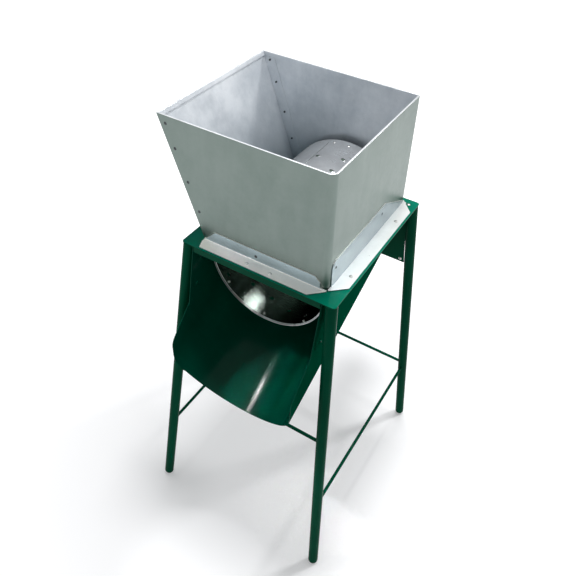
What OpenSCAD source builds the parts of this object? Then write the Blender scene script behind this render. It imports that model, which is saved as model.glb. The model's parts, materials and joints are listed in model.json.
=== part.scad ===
// Electric fruit mill: a sheet hopper over a toothed drum, a half-round chute
// under it and a splayed tube stand. All sizes are in millimetres.
// X runs from left to right, Y from the open front to the motor, Z up.
// The origin is on the floor, under the middle of the top plate.

/* [Stand] */
// Width of the top plate, left to right
plate_w = 360; // [330:1:400]
// Depth of the top plate, front to back
plate_d = 412; // [380:1:460]
// Height of the top plate's upper face above the floor
plate_h = 840; // [780:1:900]
// Thickness of the top plate
plate_t = 2; // [1.5:0.5:3]
// Depth of the plate's turned-down front flange
flange_h = 15; // [10:1:20]
// Corner radius of the top plate
plate_corner_r = 7; // [2:1:10]
// Outer diameter of a leg tube
leg_d = 25; // [20:1:26]
// Wall of a leg tube
leg_wall = 1.5; // [1:0.5:3]
// How far a foot stands out sideways from the leg's top
splay_x = 75; // [40:1:100]
// How far a foot stands out to the front or back from the leg's top
splay_y = 88; // [40:1:110]
// Thickness of the rear panel
panel_t = 3; // [2:0.5:4]
// Depth of the rear panel below the plate's upper face
panel_drop = 180; // [170:1:200]

/* [Braces] */
// Diameter of the brace rods
brace_d = 8; // [6:1:10]
// Height of the left and right braces
brace_side_z = 242; // [150:1:330]
// Height of the rear brace
brace_rear_z = 258; // [150:1:330]

/* [Hopper] */
// Height of the hopper above the plate
hopper_h = 256; // [220:1:300]
// Width of the plate left of the hopper
left_margin = 35; // [33:1:38]
// Width of the plate right of the hopper
right_margin = 36; // [34:1:38]
// Depth of the plate in front of the hopper
front_margin = 34; // [33:1:40]
// Depth of the plate behind the hopper
rear_margin = 13; // [13:0.5:16]
// Overhang of the left wall at the rim
left_overhang = 98; // [60:1:130]
// Inward lean of the right wall at the rim
right_lean = 8; // [0:1:12]
// Thickness of the hopper's sheet
sheet_t = 1.2; // [0.8:0.1:1.6]
// Height of the hem along the rim
hem_h = 9; // [6:1:14]
// Thickness of the hem along the rim
hem_t = 3.4; // [2.6:0.2:4.4]
// Radius of the bend between the front and right walls
front_bend_r = 14; // [5:1:20]
// Radius of the bend between the right and rear walls
rear_bend_r = 4; // [3:1:8]
// Width of the left wall's inner flanges
left_flange_w = 28; // [24:1:34]

/* [Base strips] */
// Thickness of the base strips
strip_t = 2; // [1.5:0.5:3]
// How far the front, left and right strips stay inside the plate's edge
strip_inset = 4; // [2:0.5:6]
// Height of the front strip on the wall
front_strip_h = 28; // [22:1:40]
// Height of the right strip on the wall
right_strip_h = 60; // [50:1:70]
// How far the rear strip stays inside the plate's rear edge
rear_strip_inset = 1; // [0.5:0.5:1.5]

/* [Drum] */
// Gap between the drum and the hopper's right wall
drum_side_gap = 5; // [4.5:0.5:10]
// Thickness of the drum's sheet
drum_t = 1.5; // [1:0.5:2.5]
// Depth of the drum's axis below the plate's upper face
axis_drop = 28; // [26:1:34]
// Gap between the hopper's front wall and the drum
drum_front_gap = 12; // [10:1:20]
// Gap between the drum and the hopper's rear wall
drum_rear_gap = 17; // [15:1:24]
// Radius of a tooth's hole
tooth_hole_r = 4.5; // [3:0.5:6]
// Height of a tooth above the drum
tooth_h = 3; // [2:0.5:4]
// Columns of teeth round the drum
tooth_cols = 16; // [8:1:18]
// Distance between the teeth of one column
tooth_pitch = 53; // [35:1:70]
// Step along the drum from one column to the next
tooth_step = 14.2; // [0:0.2:20]
// Width of the front hoop inside the drum
hoop_w = 14; // [12:1:30]
// Thickness of the front hoop
hoop_t = 1.5; // [1:0.5:3]
// How far the front hoop lies behind the drum's front rim
hoop_in = 3; // [1:1:10]
// Radius of the hub's boss
hub_r = 20; // [17:1:24]
// Radius of the hub's flange
hub_flange_r = 45; // [40:1:60]

/* [Chute] */
// Gap between the chute's walls and the front legs, in which the lugs lie
chute_leg_gap = 3; // [2.5:0.5:6]
// Drop from the drum's teeth to the chute's underside, at the drum's rear edge
chute_gap = 8; // [6:0.5:16]
// Thickness of the chute's sheet
chute_t = 1.5; // [1:0.5:2]
// Slope of the chute in degrees
chute_slope = 26; // [25:0.5:27]
// How far the lip's lowest point stands in front of the front brace
chute_lip = 20; // [10:1:40]
// Forward lean of the cut at the lip in degrees
chute_lip_lean = 20; // [10:1:30]
// Height above the lip's lowest point at which its edge turns upright
chute_lip_h = 119; // [100:1:130]
// Height of the front corners above the lip's lowest point
chute_corner_h = 164; // [150:1:175]
// Radius of the chute's front corners
chute_corner_r = 36; // [20:1:40]

/* [Motor] */
// Radius of the motor's body without fins
motor_r = 58; // [55:1:60]
// Height of the cooling fins
fin_h = 6; // [4:1:7]
// Number of cooling fins
fin_count = 28; // [16:1:32]
// Length of the motor's finned body
motor_len = 108; // [95:1:112]
// Radius of the motor's flange
motor_flange_r = 60; // [58:1:62]
// Radius of the motor's centring shoulder
pilot_r = 40; // [36:1:42]
// Diameter of the motor flange's bolt circle
motor_pcd = 100; // [96:1:104]
// Radius of the drive shaft
shaft_r = 9.5; // [8:0.5:11]
// Thickness of the motor plate
motor_plate_t = 5; // [4:0.5:8]
// Width of the motor plate
motor_plate_w = 156; // [150:1:170]
// Reach of the motor plate below and above the drum's axis
motor_plate_reach = 84; // [82:1:95]

/* [Switch] */
// Width of the switch box
box_w = 76; // [70:1:90]
// Length of the switch box
box_l = 92; // [90:1:100]
// Height of the switch box without its lid
box_h = 34; // [30:1:45]
// Radius of a push button
button_r = 9; // [7:0.5:10]
// Travel of a push button
button_travel = 4; // [3:0.5:5]

/* [Hidden] */
$fn = 72;

// Clearance between round pieces that are pressed or welded together
fit_gap = 0.05;
// Clearance left between pieces that are welded edge to edge
weld_gap = 0.3;
green = [0.03, 0.28, 0.19];
copper = [0.55, 0.3, 0.14];
light_grey = [0.75, 0.76, 0.76];
dark_green = [0.02, 0.2, 0.13];
zinc = [0.72, 0.75, 0.75];
steel = [0.62, 0.64, 0.65];
motor_grey = [0.35, 0.38, 0.4];
black = [0.08, 0.08, 0.09];

under_plate = plate_h - plate_t;
leg_r = leg_d / 2;
axis_z = plate_h - axis_drop;
rim_z = plate_h + hopper_h;
base_left = plate_w / 2 - left_margin;
base_right = plate_w / 2 - right_margin;
hopper_front = plate_d / 2 - front_margin;
hopper_back = plate_d / 2 - rear_margin;
front_strip_w = front_margin - strip_inset;
left_strip_w = left_margin - strip_inset;
right_strip_w = right_margin - strip_inset;
rear_strip_w = rear_margin - rear_strip_inset;
drum_r = base_right - drum_side_gap;
drum_front = hopper_front - drum_front_gap;
drum_rear = hopper_back - drum_rear_gap;
chute_r = plate_w / 2 - leg_d - chute_leg_gap;
hopper_d = hopper_front + hopper_back;
lean_angle = atan2(right_lean, hopper_h);
left_angle = atan2(left_overhang, hopper_h);
brace_r = brace_d / 2;
leg_top_x = plate_w / 2 - leg_r;
leg_top_y = plate_d / 2 - leg_r + 1.5;

// Where a leg's axis is at height z: it leans evenly from the plate to the floor
function leg_point(sx, sy, z) =
    let (k = (under_plate - z) / under_plate)
    [sx * (leg_top_x + splay_x * k), sy * (leg_top_y + splay_y * k), z];

// X of the left wall's outer face at height z
function left_x(z) = -base_left - left_overhang * (z - plate_h) / hopper_h;

// Z of the chute's lowest line at depth y: it passes under the drum's rear edge
function chute_z(y) =
    axis_z - drum_r - tooth_h - chute_gap - tan(chute_slope) * (drum_rear - y);

// The front brace lies between the front legs, just under the chute's lowest line
brace_under_chute = brace_r / cos(chute_slope) + weld_gap;
brace_front_z =
    (chute_z(-leg_top_y - splay_y) - brace_under_chute)
        / (1 - tan(chute_slope) * splay_y / under_plate);
brace_front_y = leg_point(1, -1, brace_front_z).y;
panel_y0 = plate_d / 2 - panel_t;
panel_y1 = plate_d / 2;

// Puts a child that stands on Z at point p, pointing at point q
module along(p, q) {
    v = q - p;
    translate(p)
        rotate([0, acos(v.z / norm(v)), atan2(v.y, v.x)])
            children();
}

// Puts a child on the drum's axis: its Z runs along Y
module on_axis() {
    translate([0, 0, axis_z])
        rotate([-90, 0, 0])
            children();
}

// Draws a flat outline of Y and Z, centred on X
module side_plate(thick) {
    rotate([90, 0, 90])
        translate([0, 0, -thick / 2])
            linear_extrude(thick)
                children();
}

// Draws a flat outline of X and Z, from y to y + thick
module front_plate(y, thick) {
    translate([0, y + thick, 0])
        rotate([90, 0, 0])
            linear_extrude(thick)
                children();
}

// A ring round Z
module ring(outer, inner, h) {
    difference() {
        cylinder(r = outer, h = h);
        translate([0, 0, -1])
            cylinder(r = inner, h = h + 2);
    }
}

// A low dome on the plane z = 0
module dome(r, h) {
    ball_r = (r * r + h * h) / (2 * h);
    intersection() {
        translate([0, 0, h - ball_r])
            sphere(r = ball_r);
        cylinder(r = r + 1, h = h + 1);
    }
}

// A pan-head screw with its head on z = 0 and its shank below
module pan_screw(head_r, head_h, shank_r, shank_l) {
    difference() {
        dome(head_r, head_h);
        for (a = [0, 90])
            rotate(a)
                translate([-head_r * 0.5, -0.4, head_h * 0.55])
                    cube([head_r, 0.8, head_h]);
    }
    translate([0, 0, -shank_l])
        cylinder(r = shank_r, h = shank_l + 0.2);
}

// A blind rivet: domed head on z = 0, shank through the grip, tail below it
module rivet(grip) {
    difference() {
        dome(rivet_head_r, 1.1);
        translate([0, 0, 0.5])
            cylinder(r = 0.9, h = 3);
    }
    translate([0, 0, -grip - 0.2])
        cylinder(r = rivet_r, h = grip + 0.4);
    translate([0, 0, -grip - 2.2])
        cylinder(r = rivet_r + 0.7, h = 2.2);
}

// A hexagon bolt: head on z = 0, shank below
module hex_bolt(shank_r, shank_l) {
    cylinder(r = shank_r * 2, h = shank_r * 1.3, $fn = 6);
    translate([0, 0, -shank_l])
        cylinder(r = shank_r, h = shank_l + 0.1);
}

rivet_r = 1.6;
rivet_head_r = 3.4;
screw_r = 2;
screw_head_r = 4.2;
hole_gap = 0.1;

/* Stand */

opening_x = min(base_left, base_right) - 0.8;
opening_y0 = -hopper_front + 4;
opening_y1 = hopper_back - 7;
flange_clear = leg_d + chute_leg_gap + chute_t + 1.5;
front_screw_x = 27.5;
side_screw_y = 108;
rear_screw_x = base_right - 24;
rear_fold_r = 0.8;
rear_screw_y = hopper_back + strip_t + rear_fold_r + screw_head_r + 0.2;

module rounded_rect(w, d, r) {
    for (sx = [-1, 1], sy = [-1, 1])
        translate([sx * (w / 2 - r), sy * (d / 2 - r)])
            circle(r);
    square([w - 2 * r, d], center = true);
    square([w, d - 2 * r], center = true);
}

// Every screw through the base strips into the plate: [x, y]
strip_screw_places = [
    [-front_screw_x, -hopper_front - front_strip_w * 0.63],
    [front_screw_x, -hopper_front - front_strip_w * 0.63],
    [base_right + right_strip_w * 0.6, -side_screw_y], [base_right + right_strip_w * 0.6, side_screw_y],
    [-base_left - left_strip_w * 0.6, -side_screw_y], [-base_left - left_strip_w * 0.6, side_screw_y],
    [-rear_screw_x, rear_screw_y], [rear_screw_x, rear_screw_y]
];
plate_screw_in = 20;
plate_screw_places = [
    for (s = [-1, 1]) [s * (plate_w / 2 - plate_screw_in), plate_d / 2 - plate_screw_in]
];

module top_plate() {
    color(green)
        difference() {
            union() {
                translate([0, 0, under_plate])
                    linear_extrude(plate_t)
                        rounded_rect(plate_w, plate_d, plate_corner_r);
                translate([0, -plate_d / 2 + plate_t / 2, plate_h - flange_h / 2])
                    cube([plate_w - 2 * flange_clear, plate_t, flange_h - 0.01], center = true);
            }
            translate([-opening_x, opening_y0, under_plate - 1])
                cube([2 * opening_x, opening_y1 - opening_y0, plate_t + 2]);
            for (p = concat(strip_screw_places, plate_screw_places))
                translate([p.x, p.y, under_plate - 1])
                    cylinder(r = screw_r + hole_gap, h = plate_t + 2);
        }
}

// A leg tube from the plate down to its plug
module leg(sx, sy) {
    top = leg_point(sx, sy, under_plate + cut_reach);
    foot = leg_point(sx, sy, plug_z);
    color(dark_green)
        difference() {
            along(foot, top)
                rotate(90)
                    ring(leg_r, leg_r - leg_wall, norm(top - foot));
            translate([top.x - 2 * leg_d, top.y - 2 * leg_d, under_plate])
                cube([4 * leg_d, 4 * leg_d, 3 * cut_reach]);
        }
}

// How far a tool that cuts a piece reaches past it
cut_reach = 20;
// The plugs' round ends are cut flat where they stand, and end under the tube's wall
plug_flat = 1;
plug_shank = 20;
plug_ball_z = leg_r - plug_flat;
plug_z = plug_ball_z + sqrt(2 * leg_r * leg_wall) + 0.5;

module leg_front_left() leg(-1, -1);
module leg_front_right() leg(1, -1);
module leg_rear_left() leg(-1, 1);
module leg_rear_right() leg(1, 1);

// Rounded plugs that close the tubes and stand flat on the floor
module foot_plugs() {
    color(dark_green)
        for (sx = [-1, 1], sy = [-1, 1]) {
            low = leg_point(sx, sy, plug_ball_z);
            high = leg_point(sx, sy, plug_z);
            up = leg_point(sx, sy, plug_z + plug_shank);
            intersection() {
                union() {
                    translate(low)
                        sphere(r = leg_r);
                    along(low, high)
                        cylinder(r = leg_r, h = norm(high - low));
                    along(high, up)
                        cylinder(r = leg_r - leg_wall - fit_gap, h = norm(up - high));
                }
                translate([low.x - leg_d, low.y - leg_d, 0])
                    cube([2 * leg_d, 2 * leg_d, plug_z + plug_shank + leg_d]);
            }
        }
}

// A rod between two legs, cut to the legs' round sides
module brace(a, b, z) {
    p = leg_point(a[0], a[1], z);
    q = leg_point(b[0], b[1], z);
    color(dark_green)
        difference() {
            along(p, q)
                cylinder(r = brace_r, h = norm(q - p));
            for (s = [a, b])
                along(leg_point(s[0], s[1], z - leg_d), leg_point(s[0], s[1], z + leg_d))
                    cylinder(r = leg_r + fit_gap, h = 2 * leg_d);
        }
}

module brace_front() brace([-1, -1], [1, -1], brace_front_z);
module brace_left() brace([-1, -1], [-1, 1], brace_side_z);
module brace_right() brace([1, -1], [1, 1], brace_side_z);
module brace_rear() brace([-1, 1], [1, 1], brace_rear_z);

panel_z0 = plate_h - panel_drop;
panel_screw_in = 8;
panel_screw_z = panel_z0 + panel_screw_in;
panel_hole_r = motor_pcd / 2 + 8;
motor_plate_bolt_r = 4;
motor_plate_bolt_in = 12;
motor_plate_bolt_x = motor_plate_w / 2 - motor_plate_bolt_in;
motor_plate_bolt_z = [axis_z - motor_plate_reach + motor_plate_bolt_in, under_plate - motor_plate_bolt_in - 2];

panel_screw_x = leg_point(1, 1, panel_screw_z).x - leg_r - weld_gap - panel_screw_in;

// X of the panel's edge at height z: it follows the leg's round side
function panel_edge_x(z) =
    let (leg = leg_point(1, 1, z), off = max(panel_y0 - leg.y, leg.y - panel_y1, 0))
    leg.x - sqrt(max(pow(leg_r + 2 * weld_gap, 2) - off * off, 0));

// Heights of the points of the panel's edge
panel_steps = 8;
panel_levels = [for (i = [0 : panel_steps]) panel_z0 + (under_plate - panel_z0) * i / panel_steps];

// Apron sheet between the rear legs
module rear_panel() {
    color(dark_green)
        difference() {
            front_plate(panel_y0, panel_t)
                polygon(concat(
                    [for (z = panel_levels) [panel_edge_x(z), z]],
                    [for (i = [panel_steps : -1 : 0]) [-panel_edge_x(panel_levels[i]), panel_levels[i]]]
                ));
            translate([0, panel_y0 - 1, axis_z])
                rotate([-90, 0, 0])
                    cylinder(r = panel_hole_r, h = panel_t + 2);
            for (x = [-1, 1] * motor_plate_bolt_x, z = motor_plate_bolt_z)
                translate([x, panel_y0 - 1, z])
                    rotate([-90, 0, 0])
                        cylinder(r = motor_plate_bolt_r + hole_gap, h = panel_t + 2);
            for (s = [-1, 1])
                translate([s * panel_screw_x, panel_y0 - 1, panel_screw_z])
                    rotate([-90, 0, 0])
                        cylinder(r = screw_r + hole_gap, h = panel_t + 2);
        }
}

module rear_panel_screws() {
    color(steel)
        for (s = [-1, 1])
            translate([s * panel_screw_x, panel_y0, panel_screw_z])
                rotate([90, 0, 0])
                    pan_screw(screw_head_r, 2, screw_r, panel_t + 6);
}

module plate_screws() {
    color(steel)
        for (p = plate_screw_places)
            translate([p.x, p.y, plate_h])
                pan_screw(screw_head_r, 2, screw_r, plate_t - 0.2);
}

/* Hopper */

// A plan outline open to the left, with round right-hand corners
module hopper_plan(inset) {
    x1 = base_right - inset;
    y0 = -hopper_front + inset;
    y1 = hopper_back - inset;
    rf = front_bend_r - inset;
    rr = max(rear_bend_r - inset, 0.2);
    translate([-plate_w, y0 + rf])
        square([plate_w + x1, y1 - y0 - rf - rr]);
    translate([-plate_w, y0])
        square([plate_w + x1 - rf, rf + 1]);
    translate([-plate_w, y1 - rr - 1])
        square([plate_w + x1 - rr, rr + 1]);
    translate([x1 - rf, y0 + rf])
        circle(rf);
    translate([x1 - rr, y1 - rr])
        circle(rr);
}

// Turns a child about the foot of the right wall by the wall's lean
module right_frame() {
    translate([base_right, 0, plate_h])
        rotate([0, -lean_angle, 0])
            children();
}

// Front and rear walls' outline of X and Z between two heights
module wall_outline(z0, z1) {
    polygon([[left_x(z0), z0], [plate_w, z0], [plate_w, z1], [left_x(z1), z1]]);
}

// Rivets that join the left wall's flanges to the front and rear walls
left_rivet_z = [for (share = [0.25, 0.49, 0.75, 0.935]) share * hopper_h];
left_rivet_in = left_flange_w / 2;
strip_front_rivet = [-17, front_strip_h * 0.46];
right_rivet_y = [-hopper_front + 29, hopper_back - 130];
right_rivet_z = right_strip_h * 0.7;
rear_rivet_x = [-base_left * 0.62, base_left * 0.62];
left_strip_rivet_y = [-side_screw_y - 2, side_screw_y + 2];
low_rivet_z = front_strip_h / 2;

// A hole or rivet at each of the left wall's flange joints
module at_left_rivets() {
    for (h = left_rivet_z) {
        x = left_x(plate_h + h) + left_rivet_in;
        translate([x, -hopper_front, plate_h + h])
            rotate([90, 0, 0])
                children();
        translate([x, hopper_back, plate_h + h])
            rotate([-90, 0, 0])
                children();
    }
}

// Places on the walls where the base strips are riveted, Z pointing outwards
module at_front_strip_rivet() {
    translate([strip_front_rivet[0], -hopper_front - strip_t, plate_h + strip_front_rivet[1]])
        rotate([90, 0, 0])
            children();
}

module at_rear_strip_rivets() {
    for (x = rear_rivet_x)
        translate([x, hopper_back + strip_t, plate_h + low_rivet_z])
            rotate([-90, 0, 0])
                children();
}

module at_right_strip_rivets() {
    right_frame()
        for (y = right_rivet_y)
            translate([strip_t, y, right_rivet_z])
                rotate([0, 90, 0])
                    children();
}

module at_left_strip_rivets() {
    for (y = left_strip_rivet_y)
        translate([-base_left, y, plate_h])
            rotate([0, -left_angle, 0])
                translate([-strip_t, 0, low_rivet_z + 2])
                    rotate([0, -90, 0])
                        children();
}

module rivet_hole() {
    translate([0, 0, -10])
        cylinder(r = rivet_r + hole_gap, h = 20);
}

// Upright sleeve round the plan, open to the left, higher and lower than the hopper
module hopper_sleeve(thick) {
    translate([-base_right, 0, -cut_reach])
        linear_extrude(hopper_h + 3 * cut_reach)
            difference() {
                hopper_plan(0);
                hopper_plan(thick);
                translate([-plate_w - 1, -hopper_front + thick])
                    square([cut_reach, hopper_d - 2 * thick]);
            }
}

// Front, right and rear walls, folded from one sheet, with a hem along the rim
module hopper_body() {
    color(zinc)
        difference() {
            union() {
                intersection() {
                    right_frame()
                        hopper_sleeve(sheet_t);
                    front_plate(-plate_d, 2 * plate_d)
                        wall_outline(plate_h, rim_z);
                }
                intersection() {
                    right_frame()
                        hopper_sleeve(hem_t);
                    front_plate(-plate_d, 2 * plate_d)
                        wall_outline(rim_z - hem_h, rim_z);
                }
            }
            at_left_rivets()
                rivet_hole();
            at_front_strip_rivet()
                rivet_hole();
            at_rear_strip_rivets()
                rivet_hole();
            at_right_strip_rivets()
                rivet_hole();
        }
}

// Slanted strip of X and Z along the left wall, from its outer face inwards
module left_strip_outline(z0, z1, inwards) {
    polygon([
        [left_x(z0), z0], [left_x(z0) + inwards, z0],
        [left_x(z1) + inwards, z1], [left_x(z1), z1]
    ]);
}

// The slanted left wall with a flange along each edge and a hem along the rim
module hopper_left_wall() {
    across = sheet_t / cos(left_angle);
    y0 = -hopper_front + sheet_t;
    y1 = hopper_back - sheet_t;
    color(zinc)
        difference() {
            union() {
                front_plate(y0, y1 - y0)
                    left_strip_outline(plate_h, rim_z - hem_h, across);
                front_plate(-hopper_front + hem_t, hopper_d - 2 * hem_t)
                    left_strip_outline(rim_z - hem_h - 1, rim_z, across);
                front_plate(-hopper_front + hem_t, hopper_d - 2 * hem_t)
                    left_strip_outline(rim_z - hem_h, rim_z, hem_t);
                for (y = [y0, y1 - sheet_t])
                    front_plate(y, sheet_t)
                        left_strip_outline(plate_h + 2, rim_z - hem_h - 1, left_flange_w);
            }
            at_left_rivets()
                rivet_hole();
            at_left_strip_rivets()
                rivet_hole();
        }
}

module hopper_rivets() {
    color(steel)
        at_left_rivets()
            rivet(2 * sheet_t);
}

/* Base strips */

// A bent strip's profile: a foot to the left, an upright up, the heel at the origin
module strip_profile(foot_w, upright_h, foot_t, bend) {
    translate([-foot_w, 0])
        square([foot_w, foot_t]);
    translate([-foot_t, 0])
        square([foot_t, upright_h]);
    difference() {
        translate([-foot_t - bend, foot_t])
            square([bend, bend]);
        translate([-foot_t - bend, foot_t + bend])
            circle(bend);
    }
}

module at_strip_screws() {
    for (p = strip_screw_places)
        translate([p.x, p.y, plate_h + strip_t])
            children();
}

module screw_hole() {
    translate([0, 0, -10])
        cylinder(r = screw_r + hole_gap, h = 20);
}

front_fold_r = 2;
front_cut = 29;
front_left_cut = [7, 19];
front_end_slope = [24, 12];

// Front strip: square foot with a long cut at its right end
module strip_front() {
    x0 = -base_left + 1;
    x1 = base_right - front_bend_r - 1;
    foot_y = -hopper_front - front_strip_w;
    front_top = plate_h + front_strip_h;
    color(zinc)
        difference() {
            intersection() {
                translate([0, -hopper_front, plate_h])
                    rotate([90, 0, 90])
                        translate([0, 0, -plate_w / 2])
                            linear_extrude(plate_w)
                                strip_profile(front_strip_w, front_strip_h, strip_t, front_fold_r);
                union() {
                    translate([0, 0, plate_h])
                        linear_extrude(strip_t + front_fold_r)
                            polygon([
                                [x0, -hopper_front], [x0, foot_y + front_left_cut[1]],
                                [x0 + front_left_cut[0], foot_y],
                                [base_right + 1 - front_cut, foot_y], [base_right + 1, foot_y + front_cut],
                                [base_right - front_bend_r, -hopper_front]
                            ]);
                    front_plate(-hopper_front - strip_t, strip_t)
                        polygon([
                            [x0 + 2, plate_h], [x0 + 4, plate_h + 4],
                            [x0 + 4 + front_end_slope[0], front_top],
                            [x1 - front_end_slope[1], front_top],
                            [x1, front_top - front_end_slope[1]], [x1, plate_h]
                        ]);
                }
            }
            at_front_strip_rivet()
                rivet_hole();
            at_strip_screws()
                screw_hole();
        }
}

right_foot_cut = 30;
right_rear_cut = 112;
right_front_corner = 16;

// Right strip: a high upright that leans with the wall, slanted at its rear end
module strip_right() {
    y0 = -hopper_front + front_bend_r;
    y1 = hopper_back - rear_bend_r;
    foot_x = base_right + right_strip_w;
    right_top = plate_h + right_strip_h;
    top_in = -right_strip_h * tan(lean_angle);
    thick = strip_t / cos(lean_angle);
    color(zinc)
        difference() {
            intersection() {
                front_plate(-hopper_front, hopper_d)
                    translate([base_right, plate_h])
                        polygon([
                            [0, 0], [right_strip_w, 0], [right_strip_w, strip_t],
                            [thick - strip_t * tan(lean_angle), strip_t],
                            [top_in + thick, right_strip_h], [top_in, right_strip_h]
                        ]);
                union() {
                    translate([0, 0, plate_h - 1])
                        linear_extrude(strip_t + 1.5)
                            polygon([
                                [base_right - 10, y0], [base_right + 2, -hopper_front + 2],
                                [foot_x, -hopper_front + right_foot_cut],
                                [foot_x, hopper_back - right_foot_cut - 6],
                                [base_right + 2, hopper_back - 1], [base_right - 10, y1]
                            ]);
                    translate([base_right, 0, 0])
                        side_plate(20)
                            polygon([
                                [y0, plate_h], [y0, right_top - right_front_corner + 2],
                                [y0 + 5, right_top - 4],
                                [y0 + right_front_corner, right_top],
                                [y0 + right_front_corner, right_top + 5],
                                [y1 - right_rear_cut, right_top + 5],
                                [y1 - right_rear_cut, right_top], [y1 - 8, plate_h + 8], [y1, plate_h]
                            ]);
                }
            }
            at_right_strip_rivets()
                rivet_hole();
            at_strip_screws()
                screw_hole();
        }
}

left_strip_in = 45;

// Left strip: its upright follows the slanted wall
module strip_left() {
    lift = front_strip_h * cos(left_angle);
    out = front_strip_h * sin(left_angle);
    thick = strip_t / cos(left_angle);
    color(zinc)
        difference() {
            front_plate(-hopper_front + left_strip_in, hopper_d - 2 * left_strip_in)
                union() {
                    polygon([
                        [-base_left, plate_h], [-base_left - left_strip_w, plate_h],
                        [-base_left - left_strip_w, plate_h + strip_t],
                        [left_x(plate_h + strip_t), plate_h + strip_t]
                    ]);
                    polygon([
                        [-base_left, plate_h], [-base_left - thick, plate_h],
                        [-base_left - out - thick, plate_h + lift], [-base_left - out, plate_h + lift]
                    ]);
                }
            at_left_strip_rivets()
                rivet_hole();
            at_strip_screws()
                screw_hole();
        }
}

rear_strip_half = base_right - 14;

// Rear strip: a narrow foot between the hopper and the plate's rear edge
module strip_rear() {
    color(zinc)
        difference() {
            translate([0, hopper_back, plate_h])
                rotate([90, 0, -90])
                    translate([0, 0, -rear_strip_half])
                        linear_extrude(2 * rear_strip_half)
                            strip_profile(rear_strip_w, front_strip_h, strip_t, rear_fold_r);
            at_rear_strip_rivets()
                rivet_hole();
            at_strip_screws()
                screw_hole();
        }
}

module strip_screws() {
    color(steel)
        at_strip_screws()
            pan_screw(screw_head_r, 2.2, screw_r, 14);
}

module strip_rivets() {
    color(steel) {
        at_front_strip_rivet()
            rivet(sheet_t + strip_t);
        at_rear_strip_rivets()
            rivet(sheet_t + strip_t);
        at_right_strip_rivets()
            rivet(sheet_t + strip_t);
        at_left_strip_rivets()
            rivet(sheet_t + strip_t);
    }
}

/* Chute */

chute_top = under_plate - 1.5;
chute_back = panel_y0 - 2;
chute_front_top = -plate_d / 2 + 1;
lip_y = brace_front_y - chute_lip;
lip_z = chute_z(lip_y);
chute_corner_turn = 44;
shoulder_out = 26;
shoulder_drop = 137;

// Points of an arc that rounds a corner
function arc_points(c, r, a0, a1, n) =
    [for (i = [0 : n]) let (a = a0 + (a1 - a0) * i / n) [c.x + r * cos(a), c.y + r * sin(a)]];

// Side outline of the chute: lip, upright edge, rounded front corner, slanted top edge
module chute_side() {
    front = lip_y - tan(chute_lip_lean) * chute_lip_h;
    corner = [front + chute_corner_r, lip_z + chute_corner_h];
    polygon(concat(
        [[lip_y + tan(chute_lip_lean) * cut_reach, lip_z - cut_reach], [front, lip_z + chute_lip_h]],
        arc_points(corner, chute_corner_r, 180, 180 - chute_corner_turn, 6),
        [
            [chute_front_top - shoulder_out, chute_top - shoulder_drop],
            [chute_front_top, chute_top], [chute_back, chute_top], [chute_back, lip_z - cut_reach]
        ]
    ));
}

// U-shaped section of the chute, lowest point at the origin
module chute_section() {
    difference() {
        union() {
            translate([0, chute_r])
                circle(chute_r, $fn = 144);
            translate([-chute_r, chute_r])
                square([2 * chute_r, plate_h]);
        }
        translate([0, chute_r])
            circle(chute_r - chute_t, $fn = 144);
        translate([-chute_r + chute_t, chute_r])
            square([2 * (chute_r - chute_t), plate_h + 1]);
    }
}

lug_t = chute_leg_gap - 0.5;
lug_front = -plate_d / 2 + 10;
lug_w = 28;
lug_drop = 116;
lug_lean = 18;
rear_lug_y = plate_d / 2 - 90;
rear_lug_w = 50;
rear_lug_h = 26;

// Screws that hold the chute to its lugs: [y, z] on each side
chute_screw_places = [
    [lug_front - 5, under_plate - 0.89 * lug_drop], [lug_front + lug_w / 2, under_plate - 0.405 * lug_drop],
    [rear_lug_y + rear_lug_w / 4, under_plate - rear_lug_h / 2],
    [rear_lug_y + rear_lug_w * 3 / 4, under_plate - rear_lug_h / 2]
];

module at_chute_screws() {
    for (s = [-1, 1], p = chute_screw_places)
        translate([s * (chute_r - chute_t), p[0], p[1]])
            rotate([0, -90 * s, 0])
                children();
}

module chute() {
    color(dark_green)
        difference() {
            intersection() {
                translate([0, brace_front_y, chute_z(brace_front_y)])
                    rotate([chute_slope, 0, 0])
                        translate([0, 2 * plate_d, 0])
                            rotate([90, 0, 0])
                                linear_extrude(3 * plate_d)
                                    chute_section();
                side_plate(2 * chute_r + 2)
                    chute_side();
            }
            at_chute_screws()
                screw_hole();
        }
}

// Flat lugs welded under the plate, two on each side
module chute_lugs() {
    color(dark_green)
        difference() {
            for (s = [-1, 1])
                translate([s * (chute_r + lug_t / 2 + fit_gap), 0, 0])
                    side_plate(lug_t) {
                        polygon([
                            [lug_front, under_plate], [lug_front + lug_w, under_plate],
                            [lug_front + lug_w, under_plate - lug_drop / 2],
                            [lug_front + lug_w - lug_lean, under_plate - lug_drop],
                            [lug_front - lug_lean, under_plate - lug_drop],
                            [lug_front - lug_lean, under_plate - lug_drop * 0.8],
                            [lug_front, under_plate - lug_drop / 3]
                        ]);
                        translate([rear_lug_y, under_plate - rear_lug_h])
                            square([rear_lug_w, rear_lug_h]);
                    }
            at_chute_screws()
                screw_hole();
        }
}

module chute_screws() {
    color(dark_green)
        at_chute_screws()
            pan_screw(screw_head_r, 1.8, screw_r, chute_t + lug_t + 3);
}

/* Motor */

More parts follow.
